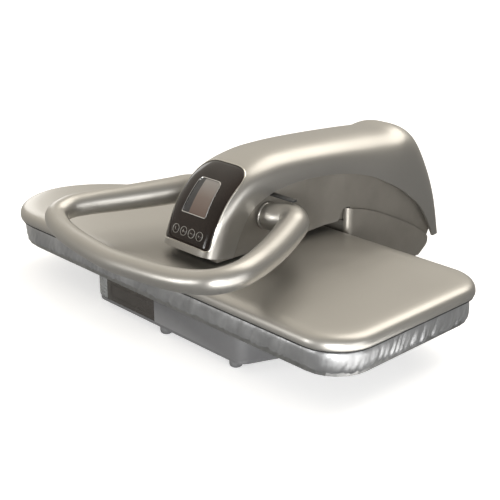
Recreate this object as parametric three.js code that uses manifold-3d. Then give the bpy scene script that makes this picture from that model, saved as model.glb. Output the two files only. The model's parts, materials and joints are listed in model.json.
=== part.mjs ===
// Tabletop ironing press: a long padded board on a low housing, a heated plate of the same outline
// carried by an arched arm that is hinged at the back, and a loop handle that locks it shut.
// Millimetres, +Z up, the handle at -Y, the hinge at +Y. Heights are above the table.
import * as THREE from 'three';
import { mergeVertices } from 'three/addons/utils/BufferGeometryUtils.js';
import Module from 'manifold-3d';

const wasm = await Module();
wasm.setup();

// ---------------------------------------------------------------- driving dimensions
const gap = 0.3;                       // between pieces that touch

const plateRight = 292;                // plate edge to the arm's centre plane, on the square end
const plateLeft = -363;                // the same, to the tip of the rounded end
const plateDepth = 268;
const plateCorner = 52;                // corner radius at the square end
const noseFront = 95;                  // length of the front quarter of the rounded end
const noseLine = 93;                   // where the tip lies, back from the front edge
const noseBack = 303;                  // length of the back quarter of the rounded end
const noseFullness = 1.86;             // exponent of the back quarter's curve
const plateHeight = 15.3;              // upper shell, without its seal
const plateSkin = 3;
const plateRound = 12;                 // width of the shell's rounded edge
const soleThickness = 6.4;
const sealThickness = 1.4;
const sealWidth = 5;

const footHeight = 11;
const footRadius = 8;
const bottomCoverThickness = 2;
const chassisThickness = 2;
const baseHeight = 32;
const baseWall = 2.5;
const baseFront = 13;                  // set back from the plate's front edge
const baseRightFront = 132;
const baseRightRear = 190;
const baseLeftRear = -150;
const boardHeight = 29.7;
const boardInset = 6;                  // cover's side, in from the plate's edge
const coverThickness = 1.2;
const trayThickness = 1.5;
const trayHeight = 10;

const tankLength = 120;
const tankLeft = -142;
const tankDepth = 62;
const tankWall = 2;
const tankEndLength = 24;
const valveRadius = 5;

const hingeBehindPlate = 147;
const shaftRadius = 8;
const bushWall = 3;
const bracketThickness = 3;
const frameHalf = 30;
const frameWall = 2.5;
const springRadius = 14;
const springWire = 2;
const springTurns = 4;

const towerBehindPlate = 8;
const towerHalf = 60;
const towerWall = 3;
const lowerRearHalf = 49;
const towerMouth = lowerRearHalf + 1.5;   // half the width of the slot that the arm passes
const towerShoulder = 43.3;            // height of the tower's front corner above the hinge

const armSkin = 3.5;
const armHeadHalf = 47;
const armRearHalf = towerHalf + 6;
const lowerHeadHalf = 42;
const lowerSkin = 2.5;
const lowerClearance = 3.6;            // under the arm's lower cover, to the plate
const lowerFront = 60;
const tailCutHalf = towerHalf + 1.5;
const tailCutRise = 10.3;              // height of the tail's cut-out above the hinge

const handlePivotY = 139;
const handlePivotRise = 46.1;          // above the plate's top
const handleShaftRadius = 7;
const bossRadius = 17.5;
const bossFace = 50;                   // where the loop meets the arm's bosses

const platePivotRise = 13.1;           // above the plate's top
const platePinRadius = 4;

const panelHalf = 40;
const panelInset = 0.5;
const panelThickness = 3;
const panelSlope = Math.atan2(86, 68);
const keyRadius = 4.6;
const keyPitch = 14.3;
const keyRise = 34.1;                  // row of keys above the plate's top

// ---------------------------------------------------------------- derived levels
const coverZ = footHeight;
const chassisZ = coverZ + bottomCoverThickness + gap;
const housingZ = chassisZ + chassisThickness + gap;
const boardZ = housingZ + baseHeight + gap;
const boardTop = boardZ + boardHeight;
const soleZ = boardTop + gap;
const shellZ = soleZ + sealThickness + gap;
const shellTop = shellZ + plateHeight;
const soleTop = soleZ + soleThickness;
const hingeY = plateDepth + hingeBehindPlate;
const hingeZ = boardTop;
const towerFront = plateDepth + towerBehindPlate;
const towerSill = shellTop + 1;
const lowerBottom = shellTop + lowerClearance;
const handlePivotZ = shellTop + handlePivotRise;
const platePivotY = plateDepth / 2;
const platePivotZ = shellTop + platePivotRise;
const roofZ = shellTop - plateSkin;

// ---------------------------------------------------------------- solids
function solidOf(geometry) {
  const bare = geometry.clone();
  for (const name of Object.keys(bare.attributes)) {
    if (name !== 'position') bare.deleteAttribute(name);
  }
  const merged = mergeVertices(bare);
  return new wasm.Manifold(new wasm.Mesh({
    numProp: 3,
    vertProperties: Float32Array.from(merged.attributes.position.array),
    triVerts: Uint32Array.from(merged.index.array),
  }));
}

function geometryOf(solid) {
  const mesh = solid.getMesh();
  const geometry = new THREE.BufferGeometry();
  geometry.setAttribute('position', new THREE.BufferAttribute(Float32Array.from(mesh.vertProperties), 3));
  geometry.setIndex(new THREE.BufferAttribute(Uint32Array.from(mesh.triVerts), 1));
  geometry.computeVertexNormals();
  return geometry;
}

function cut(first, ...others) {
  let solid = solidOf(first);
  for (const other of others) solid = solid.subtract(solidOf(other));
  return geometryOf(solid);
}

function join(first, ...others) {
  let solid = solidOf(first);
  for (const other of others) solid = solid.add(solidOf(other));
  return geometryOf(solid);
}

function common(first, ...others) {
  let solid = solidOf(first);
  for (const other of others) solid = solid.intersect(solidOf(other));
  return geometryOf(solid);
}

// Closed body through rings that all have the same number of points, with a fan over each end.
function loft(rings) {
  const count = rings[0].length;
  const points = rings.flat();
  const faces = [];
  for (let ring = 0; ring < rings.length - 1; ring += 1) {
    for (let i = 0; i < count; i += 1) {
      const a = ring * count + i;
      const b = ring * count + (i + 1) % count;
      faces.push(a, b, b + count, a, b + count, a + count);
    }
  }
  for (const [ring, flip] of [[0, true], [rings.length - 1, false]]) {
    const centre = rings[ring].reduce((sum, p) => sum.add(p), new THREE.Vector3());
    const hub = points.push(centre.divideScalar(count)) - 1;
    for (let i = 0; i < count; i += 1) {
      const a = ring * count + i;
      const b = ring * count + (i + 1) % count;
      faces.push(...(flip ? [b, a, hub] : [a, b, hub]));
    }
  }
  let volume = 0;
  for (let i = 0; i < faces.length; i += 3) {
    const [a, b, c] = [points[faces[i]], points[faces[i + 1]], points[faces[i + 2]]];
    volume += a.dot(new THREE.Vector3().crossVectors(b, c));
  }
  if (volume < 0) faces.reverse();
  const geometry = new THREE.BufferGeometry().setFromPoints(points);
  geometry.setIndex(faces);
  geometry.computeVertexNormals();
  return geometry;
}

// Upright prism of a plan outline.
function prism(shape, low, high) {
  const geometry = new THREE.ExtrudeGeometry(shape, { depth: high - low, bevelEnabled: false, curveSegments: 5 });
  return geometry.translate(0, 0, low);
}

// Prism of an outline drawn in Y and Z, running along X.
function slab(shape, from, to) {
  const geometry = new THREE.ExtrudeGeometry(shape, { depth: to - from, bevelEnabled: false, curveSegments: 5 });
  const turn = new THREE.Matrix4().makeBasis(
    new THREE.Vector3(0, 1, 0), new THREE.Vector3(0, 0, 1), new THREE.Vector3(1, 0, 0));
  return geometry.applyMatrix4(turn).translate(from, 0, 0);
}

function box(x0, x1, y0, y1, z0, z1) {
  const geometry = new THREE.BoxGeometry(x1 - x0, y1 - y0, z1 - z0);
  return geometry.translate((x0 + x1) / 2, (y0 + y1) / 2, (z0 + z1) / 2);
}

// Round bar along X.
function bar(radius, x0, x1, y, z, sides = 20) {
  const geometry = new THREE.CylinderGeometry(radius, radius, x1 - x0, sides);
  return geometry.rotateZ(Math.PI / 2).translate((x0 + x1) / 2, y, z);
}

// Round post along Z.
function post(radius, x, y, z0, z1, sides = 16) {
  const geometry = new THREE.CylinderGeometry(radius, radius, z1 - z0, sides);
  return geometry.rotateX(Math.PI / 2).translate(x, y, (z0 + z1) / 2);
}

function ring(outer, inner, x0, x1, y, z, sides = 20) {
  return cut(bar(outer, x0, x1, y, z, sides), bar(inner, x0 - 1, x1 + 1, y, z, sides));
}

function polygon(points) {
  return new THREE.Shape(points.map(([x, y]) => new THREE.Vector2(x, y)));
}

// Straight-sided outline with rounded corners, drawn inset from the corners given as x, y, radius.
function rounded(corners, inset = 0) {
  const count = corners.length;
  const sides = corners.map(([x, y], i) => {
    const [nextX, nextY] = corners[(i + 1) % count];
    const along = new THREE.Vector2(nextX - x, nextY - y).normalize();
    const start = new THREE.Vector2(x - along.y * inset, y + along.x * inset);
    return { start, along };
  });
  const shape = new THREE.Shape();
  corners.forEach((corner, i) => {
    const into = sides[(i + count - 1) % count];
    const out = sides[i];
    const between = out.start.clone().sub(into.start);
    const reach = between.cross(out.along) / into.along.cross(out.along);
    const tip = into.start.clone().addScaledVector(into.along, reach);
    const turn = Math.abs(Math.asin(Math.min(1, Math.abs(into.along.cross(out.along)))));
    const back = Math.max(corner[2] - inset, 0.5) * Math.tan(turn / 2);
    const from = tip.clone().addScaledVector(into.along, -back);
    const to = tip.clone().addScaledVector(out.along, back);
    if (i === 0) shape.moveTo(from.x, from.y);
    else shape.lineTo(from.x, from.y);
    shape.quadraticCurveTo(tip.x, tip.y, to.x, to.y);
  });
  shape.closePath();
  return shape;
}

// ---------------------------------------------------------------- plate and board outline
function plateOutline(inset) {
  const points = [];
  const radius = plateCorner - inset;
  const arc = (centreX, centreY, radiusX, radiusY, start, steps, power = 2) => {
    for (let i = 0; i <= steps; i += 1) {
      const angle = start + (Math.PI / 2) * (i / steps);
      const x = Math.sign(Math.cos(angle)) * Math.abs(Math.cos(angle)) ** (2 / power);
      const y = Math.sign(Math.sin(angle)) * Math.abs(Math.sin(angle)) ** (2 / power);
      if (i > 0 || start !== Math.PI) points.push(new THREE.Vector2(centreX + radiusX * x, centreY + radiusY * y));
    }
  };
  const turn = Math.PI / 2;
  arc(plateRight - plateCorner, plateCorner, radius, radius, -turn, 6);
  arc(plateRight - plateCorner, plateDepth - plateCorner, radius, radius, 0, 6);
  const backX = plateLeft + noseBack;
  arc(backX, noseLine, noseBack - inset, plateDepth - noseLine - inset, turn, 14, noseFullness);
  arc(plateLeft + noseFront, noseLine, noseFront - inset, noseLine - inset, 2 * turn, 7);
  return points;
}

function plateRing(inset, z) {
  return plateOutline(inset).map((p) => new THREE.Vector3(p.x, p.y, z));
}

function plateSlab(inset, low, high) {
  return loft([plateRing(inset, low), plateRing(inset, high)]);
}

function plateShell() {
  const outside = [[0.6, 0], [0, 1.4], [0.4, 6.5], [2.6, 11], [6.5, 14], [plateRound, plateHeight]];
  const outer = loft(outside.map(([inset, rise]) => plateRing(inset, shellZ + rise)));
  const inner = loft([
    plateRing(plateSkin, shellZ - 1), plateRing(plateSkin, shellZ + 6),
    plateRing(plateSkin + 3.5, roofZ - 2.5), plateRing(plateSkin + plateRound, roofZ),
  ]);
  return cut(outer, inner);
}

function plateSeal() {
  return cut(plateSlab(0.8, soleZ, soleZ + sealThickness), plateSlab(0.8 + sealWidth, soleZ - 1, soleZ + 3));
}

function heatingElement() {
  const radius = 2.8;
  const z = soleTop + gap + radius;
  const inset = 42;
  const path = plateOutline(inset).filter((p, i) => i > 1 && i % 2 === 0);
  const curve = new THREE.CatmullRomCurve3(path.map((p) => new THREE.Vector3(p.x, p.y, z)));
  return tube(curve, 44, () => radius, 6);
}

// Round bar along a curve, its radius set by a function of the way along.
function tube(curve, steps, radiusAt, sides) {
  const frames = curve.computeFrenetFrames(steps, false);
  const rings = [];
  for (let i = 0; i <= steps; i += 1) {
    const centre = curve.getPointAt(i / steps);
    const radius = radiusAt(i / steps);
    const circle = [];
    for (let k = 0; k < sides; k += 1) {
      const angle = (2 * Math.PI * k) / sides;
      circle.push(centre.clone()
        .addScaledVector(frames.normals[i], radius * Math.cos(angle))
        .addScaledVector(frames.binormals[i], radius * Math.sin(angle)));
    }
    rings.push(circle);
  }
  return loft(rings);
}

function plateYoke() {
  const ear = new THREE.Shape();
  ear.moveTo(platePivotY - 24, shellTop + gap);
  ear.lineTo(platePivotY + 24, shellTop + gap);
  ear.lineTo(platePivotY + 9, platePivotZ + 1);
  ear.absarc(platePivotY, platePivotZ, 9, 0.1, Math.PI - 0.1, false);
  ear.closePath();
  const half = frameHalf - frameWall - 2;
  const hole = bar(platePinRadius + gap, -frameHalf, frameHalf, platePivotY, platePivotZ, 16);
  const foot = box(-half, half, platePivotY - 30, platePivotY + 30, shellTop + gap, shellTop + gap + 2);
  return cut(join(foot, slab(ear, half - 3, half), slab(ear, -half, 3 - half)), hole);
}

// ---------------------------------------------------------------- base
const baseCorners = [
  [tankLeft, baseFront, 16],
  [baseRightFront, baseFront, 18],
  [baseRightRear, plateDepth - 108, 60],
  [baseRightRear, plateDepth - boardInset, 30],
  [baseLeftRear, plateDepth - boardInset, 30],
  [baseLeftRear, plateDepth - 118, 60],
];
const baseBack = plateDepth - boardInset;
const tankRight = tankLeft + tankLength;
const tankZ = [housingZ + gap, housingZ + baseHeight - 2 - gap];
const valveY = baseFront + tankDepth / 2;
const valveZ = (tankZ[0] + tankZ[1]) / 2;
const inletX = 120;
const switchX = 80;
const rearFittingZ = housingZ + baseHeight / 2;

function basePrism(inset, low, high) {
  return prism(rounded(baseCorners, inset), low, high);
}

function baseHousing() {
  const top = housingZ + baseHeight;
  const bay = box(tankLeft - 40, tankRight + gap, 0, baseFront + tankDepth + gap, housingZ - 1, top - 2);
  const bayWall = box(tankLeft + 4, tankRight + gap + 2.5, baseFront + 1, baseFront + tankDepth + 2.8, housingZ, top - 1);
  const shell = cut(basePrism(0, housingZ, top), basePrism(baseWall, housingZ - 1, top - 2));
  const walled = common(join(shell, bayWall), basePrism(0, housingZ, top));
  const valveHole = bar(valveRadius + 1, tankRight - 5, tankRight + 12, valveY, valveZ);
  const inletHole = box(inletX - 12.3, inletX + 12.3, baseBack - 8, baseBack + 4, rearFittingZ - 8.3, rearFittingZ + 8.3);
  const switchHole = box(switchX - 8.3, switchX + 8.3, baseBack - 8, baseBack + 4, rearFittingZ - 12.3, rearFittingZ + 12.3);
  return cut(walled, bay, valveHole, inletHole, switchHole);
}

function floorPlate(inset, low, high) {
  const tail = box(inset - towerHalf, towerHalf - inset, baseBack - 30, hingeY + 13 - inset, low, high);
  return join(basePrism(inset, low, high), tail);
}

function foot(x, y) {
  const profile = [[0, 0], [footRadius - 1.5, 0], [footRadius, 1.5], [footRadius, footHeight - gap], [0, footHeight - gap]];
  const geometry = new THREE.LatheGeometry(profile.map(([r, z]) => new THREE.Vector2(r, z)), 12);
  return geometry.rotateX(Math.PI / 2).translate(x, y, 0);
}

function boardTray() {
  const inset = boardInset + coverThickness + gap;
  return cut(plateSlab(inset, boardZ, boardZ + trayHeight),
    plateSlab(inset + trayThickness, boardZ + trayThickness, boardZ + trayHeight + 1));
}

function boardPad() {
  const inset = boardInset + coverThickness + trayThickness + 2 * gap;
  return plateSlab(inset, boardZ + trayThickness + gap, boardTop - coverThickness - gap);
}

function boardCover() {
  return cut(plateSlab(boardInset, boardZ, boardTop),
    plateSlab(boardInset + coverThickness, boardZ - 1, boardTop - coverThickness));
}

// Side outline of the tower: it falls towards the back, where it is round about the hinge.
function towerSide(inset, rise) {
  const shape = new THREE.Shape();
  shape.moveTo(baseBack + gap + inset, housingZ - (inset ? 4 : 0));
  shape.lineTo(hingeY + 17 - inset, housingZ - (inset ? 4 : 0));
  shape.lineTo(hingeY + 38 - inset, housingZ + 14.4 + inset * 0.6);
  shape.lineTo(hingeY + 44 - inset, housingZ + 18.4 + inset * 0.6);
  const top = hingeZ + towerShoulder;
  if (rise) {
    shape.lineTo(hingeY + 44 - inset, top + rise);
    shape.lineTo(towerFront + inset, top + rise);
  } else {
    shape.bezierCurveTo(hingeY + 23, hingeZ - 26, hingeY - 3, hingeZ - 10, hingeY - 30, hingeZ + 2);
    shape.bezierCurveTo(hingeY - 59, hingeZ + 15, hingeY - 85, top - 11, towerFront, top);
  }
  const shoulder = housingZ + baseHeight - inset;
  shape.lineTo(towerFront + inset, shoulder);
  shape.lineTo(baseBack + gap + inset, shoulder);
  shape.closePath();
  return shape;
}

function towerHousing() {
  const plan = (inset) => prism(rounded([
    [-towerHalf, baseBack + gap, 3], [towerHalf, baseBack + gap, 3],
    [towerHalf, hingeY + 44, 14], [-towerHalf, hingeY + 44, 14]], inset), 0, 300);
  const columns = (inset) => prism(rounded([
    [-towerHalf, towerFront, 12], [towerHalf, towerFront, 12],
    [towerHalf, hingeY + 65, 3], [-towerHalf, hingeY + 65, 3]], inset), 0, 300);
  const low = (inset) => box(-2 * towerHalf, 2 * towerHalf, baseBack - 22, hingeY + 85, 0, boardZ - 1 - inset);
  const outer = common(slab(towerSide(0, 0), -towerHalf, towerHalf), plan(0), join(columns(0), low(0)));
  const inner = common(slab(towerSide(towerWall, 90), -towerHalf, towerHalf), plan(towerWall),
    join(columns(towerWall), low(towerWall)));
  const mouth = box(-towerMouth, towerMouth, baseBack, towerFront + 15, towerSill, 300);
  return cut(outer, inner, mouth);
}

function hingeBracket(side) {
  const shape = new THREE.Shape();
  shape.moveTo(hingeY - 70, housingZ);
  shape.lineTo(hingeY + 13, housingZ);
  shape.lineTo(hingeY + 17, hingeZ);
  shape.absarc(hingeY, hingeZ, 17, 0, Math.PI, false);
  shape.lineTo(hingeY - 70, housingZ + 18);
  shape.closePath();
  const near = frameHalf + 4;
  const [from, to] = side > 0 ? [near, near + bracketThickness] : [-near - bracketThickness, -near];
  return cut(slab(shape, from, to), bar(shaftRadius + gap, from - 1, to + 1, hingeY, hingeZ));
}

function counterSpring(side) {
  const pitch = 2 * springWire + 0.5;
  const points = [];
  const perTurn = 12;
  for (let i = 0; i <= springTurns * perTurn; i += 1) {
    const angle = (2 * Math.PI * i) / perTurn;
    points.push(new THREE.Vector3(
      side * (5 + (pitch * i) / perTurn),
      hingeY + springRadius * Math.cos(angle),
      hingeZ + springRadius * Math.sin(angle)));
  }
  return tube(new THREE.CatmullRomCurve3(points), springTurns * perTurn, () => springWire, 6);
}

function pump() {
  const radius = baseHeight / 2 - 2.5;
  const body = bar(radius, 20, 78, 110, housingZ + radius + 1, 16);
  const nose = bar(5, 77, 92, 110, housingZ + radius + 1, 12);
  return join(body, nose, box(30, 68, 98, 122, housingZ, housingZ + 8));
}

function filterCartridge() {
  const shoulder = housingZ + baseHeight - 10;
  return join(post(13, -60, 120, housingZ, shoulder), post(5, -60, 120, shoulder - 1, shoulder + 6, 12));
}

function powerBoard() {
  const level = housingZ + 6;
  const parts = [box(70, 150, 170, 235, level, level + 1.6)];
  for (const x of [74, 146]) {
    for (const y of [174, 231]) parts.push(post(3, x, y, housingZ, level + 0.5, 10));
  }
  parts.push(box(80, 100, 180, 205, level + 1, level + 18), box(112, 138, 190, 215, level + 1, level + 12));
  return join(...parts);
}

function mainsInlet() {
  const body = box(inletX - 12, inletX + 12, baseBack - 16, baseBack + gap + 1, rearFittingZ - 8, rearFittingZ + 8);
  const flange = box(inletX - 15, inletX + 15, baseBack + gap, baseBack + gap + 2.5, rearFittingZ - 11, rearFittingZ + 11);
  const mouth = box(inletX - 9, inletX + 9, baseBack - 10, baseBack + 6, rearFittingZ - 5.5, rearFittingZ + 5.5);
  const socket = cut(join(body, flange), mouth);
  const blades = [-5, 0, 5].map((dx) => box(inletX + dx - 0.9, inletX + dx + 0.9, baseBack - 11, baseBack - 4,
    rearFittingZ - 2, rearFittingZ + 2));
  return join(socket, ...blades);
}

function switchFrame() {
  const body = box(switchX - 8, switchX + 8, baseBack - 14, baseBack + gap + 1, rearFittingZ - 12, rearFittingZ + 12);
  const flange = box(switchX - 10.5, switchX + 10.5, baseBack + gap, baseBack + gap + 2,
    rearFittingZ - 14.5, rearFittingZ + 14.5);
  const well = box(switchX - 6.3, switchX + 6.3, baseBack - 9, baseBack + 6, rearFittingZ - 10.3, rearFittingZ + 10.3);
  return cut(join(body, flange), well);
}

const rockerY = baseBack - 5;
function powerRocker() {
  const profile = [[-1, -8.6], [4.6, -8.6], [5.2, 0], [8, 8.6], [-1, 8.6]];
  const shape = polygon(profile.map(([y, z]) => [rockerY + y, rearFittingZ + z]));
  return slab(shape, switchX - 6, switchX + 6);
}

// ---------------------------------------------------------------- water tank
function tankOutline(inset) {
  return rounded([[tankLeft, baseFront, 14], [tankRight, baseFront, 3],
    [tankRight, baseFront + tankDepth, 3], [tankLeft, baseFront + tankDepth, 3]], inset);
}

const tankSplit = tankLeft + tankEndLength;
const fillerX = tankSplit + 26;

function waterTank() {
  const keep = box(tankSplit + gap, tankRight + 1, 0, 90, 0, 80);
  const outer = common(prism(tankOutline(0), ...tankZ), keep);
  const inner = common(prism(tankOutline(tankWall), tankZ[0] + tankWall, tankZ[1] - tankWall),
    box(tankSplit + gap + tankWall, tankRight, 0, 90, 0, 80));
  const filler = box(fillerX - 14, fillerX + 14, valveY - 14, valveY + 14, tankZ[1] - 8, tankZ[1] + 5);
  return cut(outer, inner, filler);
}

function tankEnd() {
  const outer = common(prism(tankOutline(0), ...tankZ), box(tankLeft - 1, tankSplit, 0, 90, 0, 80));
  const grip = box(tankLeft - 1, tankLeft + 7, baseFront + 20, baseFront + tankDepth - 10, valveZ - 10, valveZ + 8);
  return cut(outer, grip);
}

function tankValve() {
  return bar(valveRadius, tankRight + gap, tankRight + 11, valveY, valveZ, 14);
}

// ---------------------------------------------------------------- arm
// Stations of the arched top shell: top line y, z; rim y, z; half width; squareness of the section.
// The head's are measured from the plate's front edge and top, the tail's from the hinge axis.
const headStations = [
  [42, 13, 82, 5, armHeadHalf, 5],
  [61, 55, 96, 36, armHeadHalf + 1, 5],
  [80, 81, 112, 58, armHeadHalf + 1.5, 4.6],
  [104, 101, 138, 72, armHeadHalf + 3, 3.8],
  [150, 115, 175, 79, armHeadHalf + 5, 3],
  [200, 118, 215, 80, armHeadHalf + 7, 2.7],
];
const tailStations = [
  [-145, 133, -147, 92, armRearHalf - 9, 2.6],
  [-75, 128.5, -97, 79, armRearHalf - 5, 2.6],
  [-27, 125, -63, 63, armRearHalf - 2, 2.7],
  [-5, 126.5, -41, 51, armRearHalf - 1, 2.8],
  [13, 118, -21, 37, armRearHalf, 3],
  [40, 72, 3, 18, armRearHalf, 3.2],
  [57, 20, 21, -4, armRearHalf, 3.4],
  [64, -36, 40, -37, armRearHalf, 3.6],
];
const placed = (stations, y, z) => stations.map(([topY, topZ, rimY, rimZ, ...rest]) => (
  [topY + y, topZ + z, rimY + y, rimZ + z, ...rest]));
const armStations = [...placed(headStations, 0, shellTop), ...placed(tailStations, hingeY, hingeZ)];
const topLine = new THREE.CatmullRomCurve3(armStations.map(([y, z, , , half]) => new THREE.Vector3(half, y, z)));
const rimLine = new THREE.CatmullRomCurve3(armStations.map(([, , y, z, , power]) => new THREE.Vector3(power, y, z)));

// One arch-shaped section at a way along the arm. The floor lies below the rim by `drop`.
function armRing(way, inset, drop, steps) {
  const held = THREE.MathUtils.clamp(way, 0, 1);
  const top = topLine.getPoint(held);
  const rim = rimLine.getPoint(held);
  const shift = new THREE.Vector3();
  if (way !== held) {
    const step = topLine.getTangent(held).setX(0).normalize();
    shift.addScaledVector(step, 12 * Math.sign(way - held));
  }
  const half = top.x - inset;
  const up = new THREE.Vector3(0, top.y - rim.y, top.z - rim.z);
  const height = up.length() - inset;
  up.normalize();
  const base = new THREE.Vector3(0, rim.y, rim.z).add(shift);
  const points = [];
  for (let i = 0; i <= steps; i += 1) {
    const angle = (Math.PI * i) / steps;
    const across = Math.sign(Math.cos(angle)) * Math.abs(Math.cos(angle)) ** (2 / rim.x);
    const rise = Math.abs(Math.sin(angle)) ** (2 / rim.x);
    points.push(base.clone().addScaledVector(up, height * rise).setX(half * across));
  }
  for (const side of [-1, 1]) points.push(base.clone().addScaledVector(up, -drop).setX(side * half));
  return points;
}

function armBlock(inset, drop, reach) {
  const ways = [];
  const count = 20;
  for (let i = 0; i <= count; i += 1) ways.push(i / count);
  if (reach) {
    ways.unshift(-0.1);
    ways.push(1.1);
  }
  return loft(ways.map((way) => armRing(way, inset, drop, 14)));
}

// The panel's outline stands on the sloping front of the head and is cut along its normal.
function panelPrism(clearance) {
  const half = panelHalf + clearance;
  const shape = rounded([
    [-half, -4 - clearance, 7 + clearance], [half, -4 - clearance, 7 + clearance],
    [half, 108 + clearance, 26 + clearance], [-half, 108 + clearance, 26 + clearance]]);
  const geometry = new THREE.ExtrudeGeometry(shape, { depth: 70, bevelEnabled: false, curveSegments: 6 });
  return panelPlaced(geometry.translate(0, 0, -35));
}

// Moves a piece drawn flat (x across, y up the slope, z outwards) onto the head's front.
function panelPlaced(geometry) {
  return geometry.rotateX(panelSlope).translate(0, 50, shellTop + 23);
}

function armTopCover() {
  const tail = box(-tailCutHalf, tailCutHalf, hingeY - 15, hingeY + 105, 0, hingeZ + tailCutRise);
  return cut(armBlock(0, 0, false), armBlock(armSkin, 14, true), panelPrism(gap), tail);
}

// Centre and outward normal of a key, found on the front line of the head.
function keySeat(x) {
  let best = topLine.getPoint(0);
  let way = 0;
  for (let i = 0; i <= 200; i += 1) {
    const point = topLine.getPoint(i / 1000);
    if (Math.abs(point.z - (shellTop + keyRise)) < Math.abs(best.z - (shellTop + keyRise))) {
      best = point;
      way = i / 1000;
    }
  }
  const along = topLine.getTangent(way).setX(0).normalize();
  return { centre: new THREE.Vector3(x, best.y, best.z), normal: new THREE.Vector3(0, -along.z, along.y) };
}

function keyBar(x, radius, outside, inside, sides = 16) {
  const { centre, normal } = keySeat(x);
  const geometry = new THREE.CylinderGeometry(radius, radius, outside + inside, sides);
  geometry.applyQuaternion(new THREE.Quaternion().setFromUnitVectors(new THREE.Vector3(0, 1, 0), normal));
  const middle = centre.addScaledVector(normal, (outside - inside) / 2);
  return geometry.translate(middle.x, middle.y, middle.z);
}

const keyPlaces = [-1.5, -0.5, 0.5, 1.5].map((step) => step * keyPitch);
const displayCorners = [[-22, 30, 3], [22, 30, 3], [19.5, 80, 3], [-19.5, 80, 3]];

function displayPrism(inset) {
  const geometry = new THREE.ExtrudeGeometry(rounded(displayCorners, inset),
    { depth: 60, bevelEnabled: false, curveSegments: 3 });
  return panelPlaced(geometry.translate(0, 0, -30));
}

// Curved sheet that follows the head's front, between two depths under the shell's surface.
function headSheet(outer, inner) {
  return cut(armBlock(outer, 0, false), armBlock(inner, 30, true));
}

function controlPanel() {
  const sheet = common(headSheet(panelInset, panelInset + panelThickness), panelPrism(-gap));
  return cut(sheet, displayPrism(-gap), ...keyPlaces.map((x) => keyBar(x, keyRadius + gap, 6, 10)));
}

function displayBezel() {
  return cut(common(headSheet(panelInset - 0.3, panelInset + 3), displayPrism(0)), displayPrism(1.4));
}

function displayWindow() {
  return common(headSheet(panelInset + 0.2, panelInset + 2.4), displayPrism(1.4 + gap));
}

function controlBoard() {
  const board = box(-36, 36, 4, 66, -14, -12.4);
  const chips = [box(-12, 14, 30, 52, -13, -10.5), box(-30, -20, 40, 60, -13, -10)];
  return panelPlaced(join(board, ...chips));
}

// Side outline of the arm's lower cover, between the rim above and the plate below.
function lowerSide(inset, rise) {
  const points = [];
  const steps = 22;
  for (let i = 1; i <= steps; i += 1) {
    const way = 0.02 + (0.9 * i) / steps;
    const top = topLine.getPoint(way);
    const rim = rimLine.getPoint(way);
    const up = new THREE.Vector2(top.y - rim.y, top.z - rim.z).normalize();
    points.push([rim.y + up.x * (9 + rise), rim.z + up.y * (9 + rise)]);
  }
  const drum = 45 - inset;
  for (const degrees of [-20, -45, -75, -105, -135, -160]) {
    const angle = THREE.MathUtils.degToRad(degrees);
    points.push([hingeY + drum * Math.cos(angle), hingeZ + drum * Math.sin(angle)]);
  }
  const rearBottom = lowerBottom + 6;
  points.push([hingeY - 65, rearBottom + inset], [baseBack, rearBottom + inset], [150, lowerBottom + inset]);
  points.push([lowerFront + inset, lowerBottom + inset], [lowerFront + inset, lowerBottom + 4.5]);
  return polygon(points);
}

function armLowerCover() {
  const plan = (inset) => prism(polygon([
    [-lowerHeadHalf + inset, 40], [lowerHeadHalf - inset, 40], [lowerRearHalf - inset, towerFront + 14],
    [lowerRearHalf - inset, hingeY + 85], [-lowerRearHalf + inset, hingeY + 85],
    [-lowerRearHalf + inset, towerFront + 14]]), 0, 300);
  const outer = common(slab(lowerSide(0, 0), -armRearHalf, armRearHalf), plan(0));
  const inner = common(slab(lowerSide(lowerSkin, 12), -armRearHalf, armRearHalf), plan(lowerSkin));
  const yokeSlot = box(-frameHalf - 2, frameHalf + 2, platePivotY - 36, platePivotY + 36, shellTop, platePivotZ + 2);
  const bracketSlot = box(-44, 44, hingeY - 63, hingeY + 47, 0, hingeZ - 14);
  const shaftHole = bar(handleShaftRadius + gap, -70, 70, handlePivotY, handlePivotZ);
  return cut(outer, inner, yokeSlot, bracketSlot, shaftHole, lockTab(gap));
}

function armFrame() {
  const side = polygon([
    [hingeY - 23, hingeZ - 8], [hingeY - 13, hingeZ - 19], [hingeY + 13, hingeZ - 19],
    [hingeY + 23, hingeZ - 8], [hingeY + 23, hingeZ + 10], [hingeY + 13, hingeZ + 34],
    [hingeY - 17, hingeZ + 86], [hingeY - 49, hingeZ + 106], [handlePivotY + 41, handlePivotZ + 47],
    [handlePivotY - 23, handlePivotZ + 37], [handlePivotY - 41, handlePivotZ + 11],
    [handlePivotY - 39, handlePivotZ - 21], [platePivotY - 16, platePivotZ - 6],
    [platePivotY + 16, platePivotZ - 6], [handlePivotY + 37, handlePivotZ - 19],
    [handlePivotY + 47, handlePivotZ - 1], [hingeY - 85, hingeZ + 62], [hingeY - 45, hingeZ + 42],
    [hingeY - 23, hingeZ + 12]]);
  const outer = slab(side, -frameHalf, frameHalf);
  const inner = slab(side, -frameHalf + frameWall, frameHalf - frameWall).translate(0, 0, -frameWall);
  const open = box(-frameHalf + frameWall, frameHalf - frameWall,
    handlePivotY - 49, hingeY + 35, hingeZ - 28, handlePivotZ - 23);
  return cut(outer, inner, open,
    bar(shaftRadius + bushWall + 2 * gap, -50, 50, hingeY, hingeZ),
    bar(handleShaftRadius + gap, -50, 50, handlePivotY, handlePivotZ),
    bar(platePinRadius + gap, -50, 50, platePivotY, platePivotZ, 16));
}

function hingeBush(side) {
  const from = frameHalf - frameWall - 2;
  const to = frameHalf + 4 - gap;
  const [x0, x1] = side > 0 ? [from, to] : [-to, -from];
  return ring(shaftRadius + bushWall + gap, shaftRadius + gap, x0, x1, hingeY, hingeZ);
}

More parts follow.
